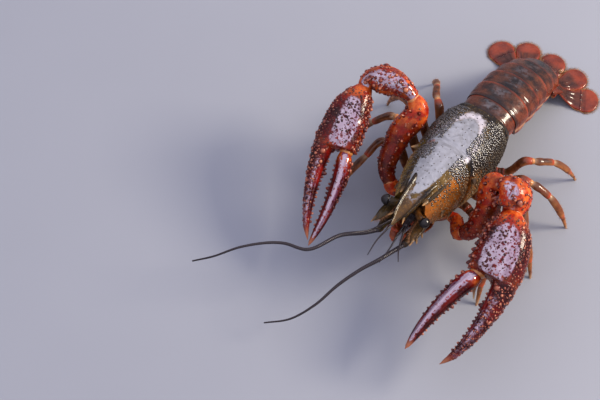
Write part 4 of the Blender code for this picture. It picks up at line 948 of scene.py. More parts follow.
def fan_blade(root, heading, length, halves, thickness, start_z, ribs, joint, seed):
    """Half width by share along, times a lens section with ribs; the end is half an oval."""
    t = np.linspace(0, FAN_ROUND_FROM, FAN_ROWS)[:, None]
    dome = length * 0.30
    heading = math.radians(heading)
    ahead = np.array([math.sin(heading), math.cos(heading), 0.0])
    across = np.array([math.cos(heading), -math.sin(heading), 0.0])
    wide = even(halves, t)
    fall = start_z * np.maximum(0.0, 1 - t / 0.5) ** 1.7
    thick = thickness * np.interp(t, (0, 0.7, 1.0), (1.3, 0.95, 0.7))
    a, u = oval(turn(FAN_SIDES), 2.0)
    top = u > 0
    fade = 1 - step_up(t, 0.66, 0.78)
    relief = sum(0.26 * hill(a, place, 0.06) for place in ribs) * fade
    relief = relief - 0.12 * hill(a, 0.0, 0.5) * fade
    rays = plateau(t, 0.50, 0.6, 0.7, 0.78)
    relief = relief + 0.05 * np.sin(a * 46) * rays
    if joint:
        relief = relief - 0.20 * plateau(t, joint, joint + 0.03, joint + 0.08, 0.78)
    up = (0.25 + 0.75 * np.clip(u, 0, 1) ** 0.7) * thick + relief * np.minimum(1, wide / 2)
    up = np.where(top, up, 0.25 * thick * (1 + u))
    base = np.array([root[0], root[1], 0.0]) + ahead * (length * t)
    rings = base[:, None] + across * (a * wide)[..., None]
    rings[..., 2] += fall + up
    y, z, pitch = JOINTS[-1]
    rear = np.array([0.0, math.cos(pitch), -math.sin(pitch)])
    inside = (np.array([0.0, y, z]) - rear * FAN_ROOT_DEPTH - rings[0]) @ rear
    rings[0] += np.array([0.0, 1.0, 0.0]) * (inside / rear[1])[:, None]
    edge = np.maximum(np.abs(a) ** 5, 0.5 * step_up(t, 0.64, 0.78))
    seam = hill(t, joint, 0.012) * top if joint else 0 * up
    dark = 0.55 * hill(t, 0.3, 0.4) * (1 - edge) + 0.6 * seam
    skin = tube(rings, 0.0, dome, steps=12, warm=np.clip(0.15 + 0.75 * edge, 0, 1),
                tip=0.45 * ~top + 0 * up, dark=np.clip(dark, 0, 1))
    rows = np.linspace(32, FAN_ROWS - 1, 70)
    sides = [pick(rings, rows, np.full(70, column)) for column in (20.0, 60.0)]
    fan = np.linspace(-1.5, 1.5, 110)[:, None]
    end = [0, 0, 0.3 * thick[-1, 0]]
    rounded = base[-1] + across * np.sin(fan) * wide[-1] * 0.97 + ahead * np.cos(fan) * dome * 0.95
    ways = [unit(at - on_path(base, rows)) + ahead * 0.9 for at in sides]
    ways.append(across * np.sin(fan) / wide[-1] + ahead * np.cos(fan) / dome)
    fringe = hairs(np.concatenate([*sides, rounded + end]), np.concatenate(ways), 1.3, seed=seed)
    blocks = [(skin, "tail"), fringe]
    if joint:
        place = np.linspace(-0.85, 0.85, 15)
        column = (np.arcsin(place) * FAN_SIDES / (2 * PI)) % FAN_SIDES
        row = np.full(15, joint / FAN_ROUND_FROM * (FAN_ROWS - 1))
        ways = ahead + [0, 0, 0.12] + 0 * place[:, None]
        blocks.append((knobs(pick(rings, row, column) - [0, 0, 0.08], ways, 0.17, 0.55, 6, 0.8),
                       "knob"))
    return blocks


# %% The five blades
TELSON_HALF_WIDTHS = (3.6, 4.2, 4.4, 4.4, 4.1, 2.3)
FAN_BLADES = {
    "inner": {"root_x": 5.3, "back": 0.2, "heading": 26.0, "length": 12.0, "rib": 0.5,
              "halves": (1.5, 2.2, 2.95, 3.8, 4.0, 2.1), "joint": 0.0, "seed": 3},
    "outer": {"root_x": 8.1, "back": -1.4, "heading": 61.0, "length": 12.8, "rib": -0.5,
              "halves": (1.5, 2.3, 3.2, 4.0, 4.4, 2.2), "joint": 0.62, "seed": 4},
}
y, z, _ = JOINTS[-1]
root_y = y + GAP + 0.9
blocks = fan_blade((0.0, root_y), 0.0, 12.0, TELSON_HALF_WIDTHS, 1.5, z - 1.8, (-0.5, 0.5), 0.62, 2)
roots = np.array([(side * x, root_y + 7.6, 0.9) for _, side in SIDES for x in (4.0, 3.2)])
ways = roots * [0.10, 0, 0] + [0, 1, 0]
blocks.append((knobs(roots, ways, 0.34, 1.5, 10, 0.85, warm=1), "grain"))
piece("telson_plate", blocks, ("telson",))
for name, side in SIDES:
    for part, blade in FAN_BLADES.items():
        x, y = root = side * blade["root_x"], root_y + blade["back"]
        blocks = fan_blade(root, side * blade["heading"], blade["length"], blade["halves"], 1.2,
                           z - 2.4, (0.0, side * blade["rib"]), blade["joint"], blade["seed"])
        stub = route([(x * 0.82, y - 3.2, z - 0.4), (x * 0.95, y - 0.8, z - 1.9),
                      (x + side * 0.3, y + 1.6, 0.5 * z - 0.9)], 20)
        t = shares(20)
        rings = tube_rings(stub, 1.75, np.linspace(1.1, 0.75, 20), 24, squareness=2.6)
        blocks.append((tube(rings, 0.4, 0.5, warm=0.3 + 0.3 * t, dark=0.3), "tail"))
        piece("fan_%s_%s" % (part, name), blocks, ("uropod_%s_%s" % (part, name),))

# %% [markdown]
# ## Eyes
# A crayfish's eye is a black bead on a short movable stalk, set in the hollow beside the rostrum.
# The bead wraps round the stalk's end, so the two are separate pieces that nearly touch.

# %% Eyes and eyestalks
for name, side in SIDES:
    root = np.array([side * 2.9, FACE_Y + 0.6, 27.9])
    end = np.array([side * 6.0, FACE_Y - 2.4, 28.3])
    way = unit((side * 1.0, -0.35, 0.12))
    path = route([root, root + [side * 0.3, -1.2, 0.1], end - way * 1.0, end], 24)
    t = shares(24)
    thick = smooth((0, 0.4, 0.8, 1), (0.95, 1.05, 1.25, 1.36), t)
    stalk = tube(tube_rings(path, thick, thick, 24), 0.2, 0.1, warm=0.5, dark=0.3 + 0.6 * t)
    piece("eyestalk_skin_" + name, [(stalk, "shell")], ("eyestalk_" + name,))
    along = 0.30 + 1.28 * (1 - np.cos(np.linspace(0.05, PI - 0.35, 26))) * 0.98
    radius = 1.78 * np.sin(np.linspace(0.75, PI - 0.25, 26))
    bead = tube_rings(end + way * along[:, None], radius, radius, 32)
    piece("eye_bead_" + name, [(tube(bead, 0.0, 0.08), "eye")], ("eye_" + name,))

# %% [markdown]
# ## Feelers
# The long feeler is a whip of hundreds of short rings on a thick three-part base, with a flat
# scale beside it. Above it stands the small forked feeler. A sine along the whip makes the rings.

# %% Whips and jointed limbs
FEELER_ROUTES = {
    "left": ((4.6, -25.6, 22.6), (3.2, -29.0, 22.4), (1.4, -33.5, 22.0), (-1.6, -39.0, 20.6),
             (-5.0, -46.0, 17.6), (-8.0, -54.5, 13.6), (-12.5, -61.0, 9.6), (-19.0, -65.5, 6.6)),
    "right": ((-4.6, -25.6, 22.6), (-7.2, -28.6, 22.6), (-12.6, -33.6, 22.6), (-18.8, -44.0, 22.0),
              (-25.6, -46.0, 21.6), (-35.6, -54.4, 21.0), (-42.0, -60.5, 17.0),
              (-48.0, -63.5, 12.0)),
}


def whip(points, thick, thin, ring_length, rows):
    """A tapering tube whose radius swells a little once in each ring's length."""
    path = route(points, rows)
    length = np.append(0, np.cumsum(np.linalg.norm(np.diff(path, axis=0), axis=1)))
    phase = 2 * PI * length / ring_length
    radius = (thick + (thin - thick) * (length / length[-1])) * (1 + 0.055 * np.sin(phase))
    return tube(tube_rings(path, radius, radius, 8), 0.1, 0.1, steps=3,
                warm=0.5 + 0.5 * np.sin(phase + 2)), "feeler"


def segments(points, radii, cuts, flat=1.0, lift=(0.0, 0.0, 1.0), sides=20):
    """A limb in joints: between two cuts, a tube that starts slim, swells and flares."""
    path = route(points, 400)
    own = shares(24)
    swell = smooth((0, 0.12, 0.5, 0.88, 1), (0.80, 0.95, 0.98, 1.06, 0.98), own)
    for first, last in zip(cuts, cuts[1:]):
        t = np.linspace(first, last, 24)
        wide = even(radii, t) * swell
        yield tube_rings(even(path, t), wide * flat, wide, sides, lift), own


def slimmed(path, wide, flat, sides, joints, depth, lift=(0.0, 0.0, 1.0)):
    """A slender limb in one tube, nipped in at each of its joints."""
    t = shares(len(path))
    wide = wide * (1 - sum(depth * hill(t, at, width) for at, width in joints))
    return tube_rings(path, wide * flat, wide, sides, lift), t


# %% The feelers
for name, side in SIDES:
    flip = np.array([side, 1, 1])
    limb_path = [(side * 1.75, FACE_Y + 1.0, 24.8), (side * 1.8, -18.5, 25.0),
                 (side * 2.0, -21.2, 25.4)]
    blocks = [(tube(rings, 0.3, 0.3, warm=0.8), "feeler")
              for rings, _ in segments(limb_path, (1.1, 1.15, 0.95, 0.8), (0, 0.4, 0.68, 1.0))]
    for fork in (((2.3, -21.0, 25.5), (3.6, -25.0, 26.2), (5.6, -30.0, 27.6), (8.4, -34.5, 29.6)),
                 ((1.7, -21.0, 25.3), (1.9, -25.0, 25.2), (2.4, -30.0, 24.6), (2.2, -35.0, 23.2))):
        blocks.append(whip(np.array(fork) * flip, 0.40, 0.13, 0.5, 160))
    piece("small_feeler_" + name, blocks, ("antennule_" + name,))

    root = np.array(FEELER_ROUTES[name][0])
    ahead = unit(np.array(FEELER_ROUTES[name][1]) - root)
    limb_path = [(side * 4.7, FACE_Y + 1.2, 22.3), (side * 4.9, -20.0, 22.3), root - ahead * 0.1]
    blocks = [(tube(rings, 0.5, 0.5, warm=0.25 * own, dark=0.5 + 0.5 * hill(own, 0.9, 0.2)),
               "shell") for rings, own in segments(limb_path, (1.9, 2.1, 1.9, 1.7, 1.3, 1.0),
                                                   (0, 0.42, 0.72, 1.0))]
    spots = [(side * 6.6, -18.6, 21.6), (side * 6.5, -21.4, 21.8)]
    spikes = knobs(spots, [(side * 0.8, -0.9, -0.2)] * 2, 0.5, 1.5, 10, 0.8, levels=6, warm=1)
    piece("feeler_base_" + name, blocks + [(spikes, "grain")], ("antenna_base_" + name,))

    path = route([(side * 5.2, FACE_Y + 1.0, 25.4), (side * 6.6, -19.5, 25.5),
                  (side * 6.9, -25.6, 26.0)], 60)
    t = shares(60)[:, None]
    inner = smooth((0, 0.2, 0.5, 0.75, 0.92, 1), (0.6, 1.5, 2.15, 1.75, 0.8, 0.1), t)
    outer = smooth((0, 0.2, 0.6, 1), (0.6, 0.95, 0.85, 0.12), t)
    a, u = oval(turn(48), 2.0)
    toward = -side * a
    rib = 0.30 * hill(toward, -0.72, 0.22) + 0.10 * hill(toward, 0.25, 0.2)
    across = unit(np.cross((0.0, 0.0, 1.0), unit(np.gradient(path, axis=0))))
    across = across * np.sign(across[0, 0])
    rings = path[:, None] + across[:, None] * (a * np.where(toward > 0, inner, outer))[..., None]
    rings[..., 2] += u * (0.40 - 0.16 * t) + np.where(u > 0, rib, -0.6 * rib) * (1 - t ** 4)
    row = np.linspace(10, 57, 70)
    roots = pick(rings, row, np.full(70, 36.0 if side > 0 else 12.0))
    fringe = hairs(roots, roots - on_path(path, row) + [0, -0.8, 0], 1.4, seed=6)
    pale = np.exp(-rib * 4) + 0 * t
    scale = tube(rings, 0.2, 0.1, warm=0.25 * pale, dark=0.8, tip=0.06 * pale)
    spike = knobs([path[54] + [side * 0.1, 0, 0]], [[side * 0.10, -1, 0.05]], 0.42, 1.9, 12, 0.8,
                  levels=7, warm=1)
    piece("feeler_scale_" + name, [(scale, "shell"), fringe, (spike, "grain")],
          ("antenna_scale_" + name,))
    piece("feeler_whip_" + name, [whip(FEELER_ROUTES[name], 0.74, 0.24, 0.55, 1400)],
          ("antenna_whip_" + name,))

# %% [markdown]
# ## The mouth
# Between the feelers a small ridged plate closes the head above the mouth. Two jaws with a dark
# toothed edge hang below it, each with a palp. Over them fold the outer mouth limbs: thick, hairy
# and jointed like short legs. They could be one lump, but the joints and hair are what the eye
# looks for in a face, so each joint is its own tube and each hair its own spine.

# %% The mouth plate and the jaws
t = shares(24)[:, None]
a, u = oval(turn(48), 2.2)
size = 1 - 0.55 * step_up(t, 0.8, 1.0)
x = 2.35 * a * (1 - 0.5 * np.clip(-u, 0, 1)) * size
z = 21.75 + np.where(u > 0, 1.65, 1.95) * u * size
plate = np.stack([x, -12.0 - 5.05 * t + 0 * x - 0.35 * hill(x, 0, 0.5) * (t > 0.85), z], -1)
t = t[:, 0]
piece("mouth_plate", [(tube(plate, 0.3, 0.35, warm=0.5 * t, dark=0.35, tip=0.25 * t), "shell")],
      ("epistome",))
for name, side in SIDES:
    down = unit((0.0, -0.64, -0.77))
    root = np.array([side * 1.72, -14.35, 17.85])
    t = shares(20)
    path = root + down * (-1.4 + 3.3 * t)[:, None]
    wide = smooth((0, 0.45, 0.65, 0.85, 1), (1.25, 1.42, 1.40, 1.0, 0.45), t)
    jaw = tube_rings(path, wide, wide * 1.05, 28, (1.0, 0, 0))
    edge = root + down * np.linspace(0.3, 1.7, 6)[:, None] + [-side * 1.15, -0.35, 0.0]
    palp = route([root + (side * 0.9, -0.9, 0.6), root + (side * 1.3, -2.1, 0.5),
                  root + (side * 0.7, -3.0, 0.1), root + (-side * 0.3, -3.2, -0.5)], 40)
    slim = smooth((0, 0.3, 0.6, 1), (0.42, 0.34, 0.36, 0.12), shares(40))
    rings, own = slimmed(palp, slim, 1, 12, ((0.45, 0.03), (0.72, 0.03)), 0.18)
    row = np.linspace(16, 38, 26)
    roots = pick(rings, row, np.linspace(0, 24, 26) % 12)
    piece("jaw_" + name, [
        (tube(jaw, 0.3, 0.3, warm=0.5, dark=step_up(t, 0.55, 1.0)), "leg"),
        (knobs(edge, [(-side * 1.0, -0.25, -0.35)] * 6, 0.34, 0.55, 8, 0.5), "grain"),
        (tube(rings, 0.1, 0.1, steps=3, warm=0.4 * own), "leg"),
        hairs(roots, roots - on_path(palp, row) + [0, -0.3, -0.2], 0.7, 0.04, seed=12),
    ], ("mandible_" + name,))

# %% The outer mouth limbs
MOUTH_LIMB = ((2.3, -6.0, 9.9), (2.25, -10.0, 11.2), (2.35, -13.8, 12.9), (2.35, -17.2, 15.0),
              (2.2, -19.9, 16.6), (2.0, -21.3, 15.4), (1.8, -21.5, 12.9))
MOUTH_LIMB_WIDTHS = (1.6, 2.0, 2.0, 1.8, 1.5, 1.2, 0.45)
MOUTH_LIMB_CUTS = (0, 0.10, 0.50, 0.68, 0.79, 0.91, 1.0)
MOUTH_HAIRS = ((14, 0.9), (60, 1.3), (34, 1.3), (22, 1.3), (22, 1.2), (14, 0.8))
MOUTH_PALPS = (
    (((3.6, -8.0, 11.0), (4.1, -12.6, 14.6), (3.7, -16.2, 17.5), (2.9, -18.3, 18.4),
      (2.0, -19.0, 17.6)), (0.75, 0.85, 0.7, 0.55, 0.2)),
    (((4.0, -7.0, 10.6), (5.3, -11.5, 14.0), (5.4, -15.6, 17.2), (4.6, -18.6, 19.3),
      (3.9, -21.6, 19.4)), (0.55, 0.5, 0.4, 0.28, 0.12)),
)
for name, side in SIDES:
    flip = np.array([side, 1.0, 1.0])
    blocks = []
    joints = segments(MOUTH_LIMB * flip, MOUTH_LIMB_WIDTHS, MOUTH_LIMB_CUTS, 0.78, (1.0, 0, 0), 24)
    for index, (rings, own) in enumerate(joints):
        count, length = MOUTH_HAIRS[index]
        blocks.append((tube(rings, 0.4, 0.4, warm=0.25 + 0.5 * hill(own, 1.0, 0.15),
                            dark=0.8 * hill(own, 0.45, 0.3)), "leg"))
        row = np.tile(np.linspace(2, 22, count), 3)
        column = np.repeat([16.5, 18.5, 14.5], count)
        roots = pick(rings, row, column if side > 0 else 12.0 - column)
        spread = np.random.default_rng(20 + index).normal(0, 0.25, roots.shape)
        ways = [-side * 0.75, -0.35, -0.45] + spread
        blocks.append(hairs(roots, ways, length, 0.045, seed=30 + index))
        if index == 1:
            roots = pick(rings, np.linspace(4, 21, 14), np.full(14, 19.5 if side > 0 else -7.5))
            blocks.append((knobs(roots, [(-side, 0, 0.2)] * 14, 0.22, 0.4, 7, 0.3), "grain"))
    for points, thick in MOUTH_PALPS:
        path = route(np.array(points) * flip, 60)
        wide = even(thick, shares(60))
        rings, own = slimmed(path, wide, 0.7, 14, ((0.5, 0.02), (0.74, 0.02)), 0.15, (1.0, 0, 0))
        row = np.linspace(28, 58, 60)
        roots = pick(rings, row, np.linspace(0, 70, 60) % 14)
        ways = roots - on_path(path, row) + [0, -0.25, 0.1]
        blocks.append((tube(rings, 0.1, 0.1, steps=3, warm=0.5 * own, dark=0.4 * (1 - own)), "leg"))
        blocks.append(hairs(roots, ways, 0.9, 0.035, seed=44))
    piece("mouth_limb_" + name, blocks, ("maxilliped_" + name,))

# %% [markdown]
# ## The plates below
# Behind the mouth a row of plates under the body carries the claws and the legs: a long keel with
# a notch between each pair of legs.

# %% The underside
LEG_FIRST_Y, LEG_PITCH = 3.6, 5.4
t = shares(120)[:, None]
y = -6.0 + 29.5 * t
lobe = 0.5 + 0.5 * np.cos((y - LEG_FIRST_Y) / LEG_PITCH * 2 * PI)
a, u = oval(turn(96), 4.5)
keel = 6.8 * (0.16 + 0.26 * t)
ends = 0.45 + 0.55 * np.sqrt(np.clip(1 - (1 - t / 0.10).clip(0) ** 2, 0, 1))
x = 6.8 * a * ends
low_z = (8.0 + 0.9 * (1 - lobe) + 1.3 * hill(np.abs(x), keel, 0.9)
         + 0.25 * hill(np.abs(x), keel * 0.4, 0.5))
z = 9.8 + np.where(u > 0, 1.7, 9.8 - low_z) * u
rings = np.stack([x, y + 0 * x, z], -1)
piece("underside_plates", [(tube(rings, 0.3, 0.3, warm=1 - step_up(t[:, 0], 0.0, 0.3)), "belly")],
      ("thorax_underside",))

# %% [markdown]
# ## The claw arms
# Each arm has a base, an upper arm, a short wrist piece, and the claw. The solid's tables of
# widths are read again here at many more steps, and rows of knobs and spines are set on the skin
# at measured places. The joints are closed by soft orange skin.

# %% Arm poses
COXA = (7.15, -2.2, 9.9)
ARMS = {
    "left": {"shoulder": (14.4, -6.2, 12.6), "elbow": (19.8, 4.0, 33.8),
             "wrist": (27.2, -0.6, 30.6), "reach": (0.31, -0.95, -0.30), "inward": 25.0,
             "open": 27.0, "tilt": 4.0, "girth": 1.0, "lead": 2.4, "gloss_from": -6.5,
             "wrist_wet": (0.80, 0.95)},
    "right": {"shoulder": (-14.6, -4.4, 12.8), "elbow": (-19.5, 14.4, 32.6),
              "wrist": (-34.6, 9.4, 32.0), "reach": (0.12, -0.95, -0.34), "inward": 18.0,
              "open": 6.5, "tilt": 4.0, "girth": 0.84, "lead": 0.9, "gloss_from": -3.2,
              "wrist_wet": (0.62, 0.88)},
}


# %% Limb pieces, joint skin, knobs and spines
def between(before, joint, after):
    """The way through a joint: half way between the way in and the way out."""
    before, joint, after = (np.asarray(point, float) for point in (before, joint, after))
    return unit(unit(joint - before) + unit(after - joint))


def limb(start, middle, end, across, up, lift, lead, rows=48, sides=40):
    """A limb piece between two joint faces, with its width tables read at every row."""
    (first, leave), (last, arrive) = start, end
    first, last, leave, arrive = (np.asarray(v, float)
                                  for v in (first, last, unit(leave), unit(arrive)))
    path = route([first, first + leave * lead, *middle, last - arrive * lead, last], rows)
    across, up = (even(widths, shares(rows)) for widths in (across, up))
    return tube_rings(path, across, up, sides, lift, 2.2)


def ball(centre, radius, way, flat=0.8):
    """A squashed ball of joint skin: its rings' radii go by sin, their places by flat * cos."""
    t = np.linspace(0.25, PI - 0.25, 12)
    path = np.asarray(centre, float) - unit(way) * (np.cos(t) * radius * flat)[:, None]
    wide = radius * np.sin(t)
    rings = tube_rings(path, wide, wide, 20, np.roll(unit(way), 1))
    return tube(rings, 0.03, 0.03, steps=3), "membrane"


def arm_knobs(rings, count, seed, radius):
    """Low domes all round a piece, evenly scattered."""
    spots = scatter(count, seed, 0.4) * [0.88, 1] + [0.06, 0]
    row, column = spots.T * [[len(rings) - 1], [rings.shape[1]]]
    size = radius * np.exp(np.random.default_rng(seed).normal(0, 0.38, count))
    return knobs(*on_skin(rings, row, column), size, size * 0.8,
                 draw=np.random.default_rng(seed + 1)), "knob"


def row_of_spines(rings, way, first, last, count, radius, height, seed, lean=(0.0, 0.0, 0.0)):
    """A row of strong spines along the side of a limb that faces the way."""
    draw = np.random.default_rng(seed)
    row = np.linspace(first, last, count) * (len(rings) - 1)
    column = np.argmax(outward(rings)[np.round(row).astype(int)] @ unit(way), axis=1)
    place, out = on_skin(rings, row, (column + draw.normal(0, 0.3, count)) % rings.shape[1])
    radii, heights = (size * draw.uniform(0.85, 1.15, count) for size in (radius, height))
    return knobs(place, out + lean, radii, heights, 9, 0.6, draw, levels=6), "knob"


# %% The claw's own directions
CLAW_LENGTH = 50.5
DACTYL_LENGTH = 30.0
DACTYL_HINGE = (21.7, 4.3)
DACTYL_CURL = math.radians(-14.0) / DACTYL_LENGTH
BEND_FROM = 8.0


def bent(u, v, inward):
    """Beyond the bend the claw follows a circle: along by sin, across by 1 - cos of the angle."""
    rate = math.radians(inward) / (CLAW_LENGTH - BEND_FROM)
    angle = np.maximum(0.0, u - BEND_FROM) * rate
    along = np.minimum(u, BEND_FROM) + np.sin(angle) / rate
    return along - v * np.sin(angle), (1 - np.cos(angle)) / rate + v * np.cos(angle), angle


class ClawFrame:
    """The claw's directions: along to the tips, across to the body side, and up from its back."""

    def __init__(self, side, arm):
        self.origin = np.asarray(arm["wrist"], float)
        self.along = unit(arm["reach"])
        level = unit(np.cross((0.0, 0.0, 1.0), self.along))
        across = level if level[0] * side < 0 else -level
        tilt = math.radians(arm["tilt"])
        up = np.cross(across, self.along)
        up = up if up[2] > 0 else -up
        self.across = unit(across * math.cos(tilt) - up * math.sin(tilt))
        self.up = unit(up * math.cos(tilt) + across * math.sin(tilt))
        self.inward, self.girth, self.opening = arm["inward"], arm["girth"], arm["open"]

    def world(self, u, v, n):
        """Where a point lies that is u along, v across and n up."""
        u, v, n = (np.asarray(value, float)[..., None] for value in np.broadcast_arrays(u, v, n))
        return self.origin + u * self.along + v * self.across + n * self.up

    def palm(self, u, v, n):
        """The same on the claw's inward curve."""
        u, v, n = (np.asarray(value, float) for value in (u, v, n))
        along, across, _ = bent(u, v * self.girth, self.inward)
        return self.world(along, across, n * self.girth)

    def finger(self, d, v, n):
        """A point of the movable finger, d from its hinge, turned open and curled a little."""
        start, aside, angle = bent(np.array(DACTYL_HINGE[0] + GAP),
                                   np.array(DACTYL_HINGE[1] * self.girth), self.inward)
        d, v, n = (np.asarray(value, float) for value in (d, v, n))
        angle = float(angle) + math.radians(self.opening)
        bend, v = d * DACTYL_CURL, v * self.girth
        along = np.sin(bend) / DACTYL_CURL - v * np.sin(bend)
        across = (1 - np.cos(bend)) / DACTYL_CURL + v * np.cos(bend)
        return self.world(start + along * math.cos(angle) - across * math.sin(angle),
                          aside + along * math.sin(angle) + across * math.cos(angle),
                          n * self.girth)


# %% [markdown]
# The palm and the fixed finger are one skin. Its outline comes from four tables: the outer and
# inner edge, and the height above and below. A crest of strong knobs runs along the inner edge,
# smaller knobs cover the back, and blunt teeth line the biting edge.

# %% The palm's outline
PALM_AT = (0.0, 2.5, 7.0, 13.0, 18.0, 20.6, 21.8, 26.5, 32.5, 38.5, 44.0, 48.0, 50.0, 50.8)
PALM_OUTER = (-3.2, -5.4, -7.7, -8.7, -8.8, -8.6, -8.5, -8.0, -7.0, -5.9, -4.7, -3.4, -2.3, -1.7)
PALM_INNER = (3.2, 4.4, 6.2, 7.5, 7.8, 7.5, -0.8, -1.4, -1.8, -1.9, -1.8, -1.5, -1.3, -1.3)
PALM_HIGH = (3.0, 4.0, 5.0, 5.6, 5.4, 4.9, 4.4, 3.7, 3.1, 2.5, 1.9, 1.2, 0.6, 0.3)
PALM_LOW = (2.8, 3.6, 4.6, 5.2, 5.0, 4.6, 4.1, 3.5, 2.9, 2.3, 1.7, 1.0, 0.5, 0.3)
PALM_ROWS = np.concatenate([np.linspace(0, 20.2, 62), np.linspace(20.35, 22.2, 16),
                            np.linspace(22.6, 50.8, 92)])
PALM_SIDES = 72


def section(stations, edges, along, sides):
    """Across = middle + half width * sin, up = height * cos, read from tables at each row."""
    outer, inner, high, low = (steady(stations, edge, along)[:, None] for edge in edges)
    a, b = oval(turn(sides), 2.2)
    v = (outer + inner) / 2 + (inner - outer) / 2 * a
    return a, b, v, np.where(b > 0, b * high, b * low), high


def palm_rings(frame):
    """The section's skin on the claw's curve, raised by ridges along the fixed finger."""
    edges = (PALM_OUTER, PALM_INNER, PALM_HIGH, PALM_LOW)
    a, b, v, n, high = section(PALM_AT, edges, PALM_ROWS, PALM_SIDES)
    u = PALM_ROWS[:, None]
    finger = plateau(u, 22.5, 28.0, 43, 50)
    ridge = (0.28 * hill(np.abs(b), 1.0, 0.10) - 0.30 * hill(a, 0.55, 0.14)
             - 0.30 * hill(a, -0.55, 0.14))
    n = n + np.sign(b) * ridge * finger * (high > 0.8)
    swell = 1 + 0.012 * np.sin(u * 1.1) * np.sin(3 * turn(PALM_SIDES))
    return frame.palm(u + GAP + 0 * v, v * swell, n * swell), v, n


# %% The palm's marks, teeth and knobs
def palm_marks(u, v, n, gloss_from):
    """Where the claw is warm, dark or pale: orange rims, a dark outer flank, horny tips."""
    tip = step_up(u, 46.5, 50.0)
    warm = 0.9 * (1 - step_up(u, 0.5, 7.0)) + 0.45 * hill(v, 8.3, 1.6) + 0.35 * hill(u, 20.5, 1.6)
    dark = 0.75 * step_up(-v, 2.0, 7.5) * step_up(u, 4, 12) + 0.35 * hill(n, 5.4, 2.0)
    # The gloss marks the wet back of the palm and a stripe along the fixed finger: a coat there,
    # and a pale lavender-pink painted reflection in the colour
    back = step_up(n, 3.9, 4.8) * plateau(u, 2, 5, 19, 24)
    back = back * step_up(v, gloss_from - 1.5, gloss_from + 1.5)
    finger = 0.6 * (n > 0) * step_up(u, 24, 27) * hill(v + 4, 0, 2.2) * (1 - tip)
    return {"tip": tip * 0.8 + 0 * v, "warm": np.clip(warm * (1 - tip), 0, 1),
            "dark": np.clip(dark * (1 - tip), 0, 1), "gloss": back + finger}


def teeth(count, start, end, edge, inner_side, place, high_tooth, rhythm, heights):
    """Blunt teeth along a biting edge, of changing sizes, with one high tooth among them."""
    d = np.linspace(start, end, count)
    low, more, most = heights
    sizes = low + more * np.abs(np.sin(np.arange(count) * rhythm))
    sizes = sizes + most * hill(np.arange(count), high_tooth, 0.7)
    v = edge(d)
    root = place(d, v - inner_side * 0.35, 0 * d)
    tip = place(d + 0.05, v + inner_side * 1.0, 0 * d + 0.1)
    return knobs(root, tip - root, 0.62 * sizes, 1.15 * sizes, 10, 0.15, levels=5), "knob"


def claw_blocks(frame, gloss_from):
    """The palm's skin with its crest, knobs, teeth and the small knobs on its flank."""
    rings, v, n = palm_rings(frame)
    marks = palm_marks(PALM_ROWS[:, None], v, n, gloss_from)
    blocks = [(tube(rings, 0.9, 0.5, **marks), "claw")]

    def spread(u, angle):
        """Places and ways out at distances along the claw and angles round it."""
        row = np.interp(u, PALM_ROWS, np.arange(len(PALM_ROWS)))
        return on_skin(rings, row, angle / (2 * PI) * PALM_SIDES)

    places, ways, sizes = [], [], []
    for level, count, size in ((0.20, 8, 0.80), (0.52, 7, 0.60), (-0.25, 6, 0.50)):
        u = np.linspace(3.0, 19.2, count) + len(places) * 0.5
        place, way = spread(u, np.full(count, math.acos(level)))
        places.append(place)
        ways.append(way + 0.45 * frame.along)
        sizes.append(np.full(count, size))
    places, ways, sizes = (np.concatenate(parts) for parts in (places, ways, sizes))
    blocks.append((knobs(places, ways, sizes, sizes * 1.45, 10, 0.3, levels=5), "knob"))

    spots = scatter(620, 8)
    angle = 2 * PI * spots[:, 1]
    size = 0.34 * np.exp(np.random.default_rng(4).normal(0, 0.40, len(spots)))
    size = size * (1 - 0.35 * (np.cos(angle) > 0.75))
    places, ways = spread(1.5 + 21.0 * spots[:, 0], angle)
    blocks.append((knobs(places, ways + 0.3 * frame.along, size, size * 0.75,
                         dark=0.8 * step_up(ways @ frame.up, 0.72, 0.92)), "knob"))

    spots = scatter(300, 9)
    size = 0.34 - 0.16 * spots[:, 0]
    size = size * np.exp(np.random.default_rng(6).normal(0, 0.38, len(spots)))
    places, ways = spread(22.8 + 25.5 * spots[:, 0] ** 1.25, PI + (PI * 1.15) * spots[:, 1] + 0.1)
    blocks.append((knobs(places, ways + 0.3 * frame.along, size, size * 0.8), "knob"))
    blocks.append(teeth(17, 24.5, 45.5, lambda d: steady(PALM_AT, PALM_INNER, d), 1.0,
                        lambda d, v, n: frame.palm(d + GAP, v, n), 4, 1.7, (0.6, 0.35, 0.75)))
    return blocks


# %% The movable finger
DACTYL_AT = (0.0, 1.5, 4.5, 9.0, 14.5, 20.0, 25.0, 28.2, 29.7, 30.2)
DACTYL_OUTER = (-2.6, -3.0, -2.7, -2.3, -2.0, -1.7, -1.4, -1.1, -0.8, -0.5)
DACTYL_INNER = (2.2, 2.9, 3.2, 3.0, 2.6, 2.1, 1.4, 0.7, 0.3, 0.0)
DACTYL_HIGH = (2.8, 3.4, 3.4, 3.0, 2.6, 2.1, 1.5, 0.9, 0.5, 0.3)
DACTYL_ROWS, DACTYL_SIDES = 120, 56


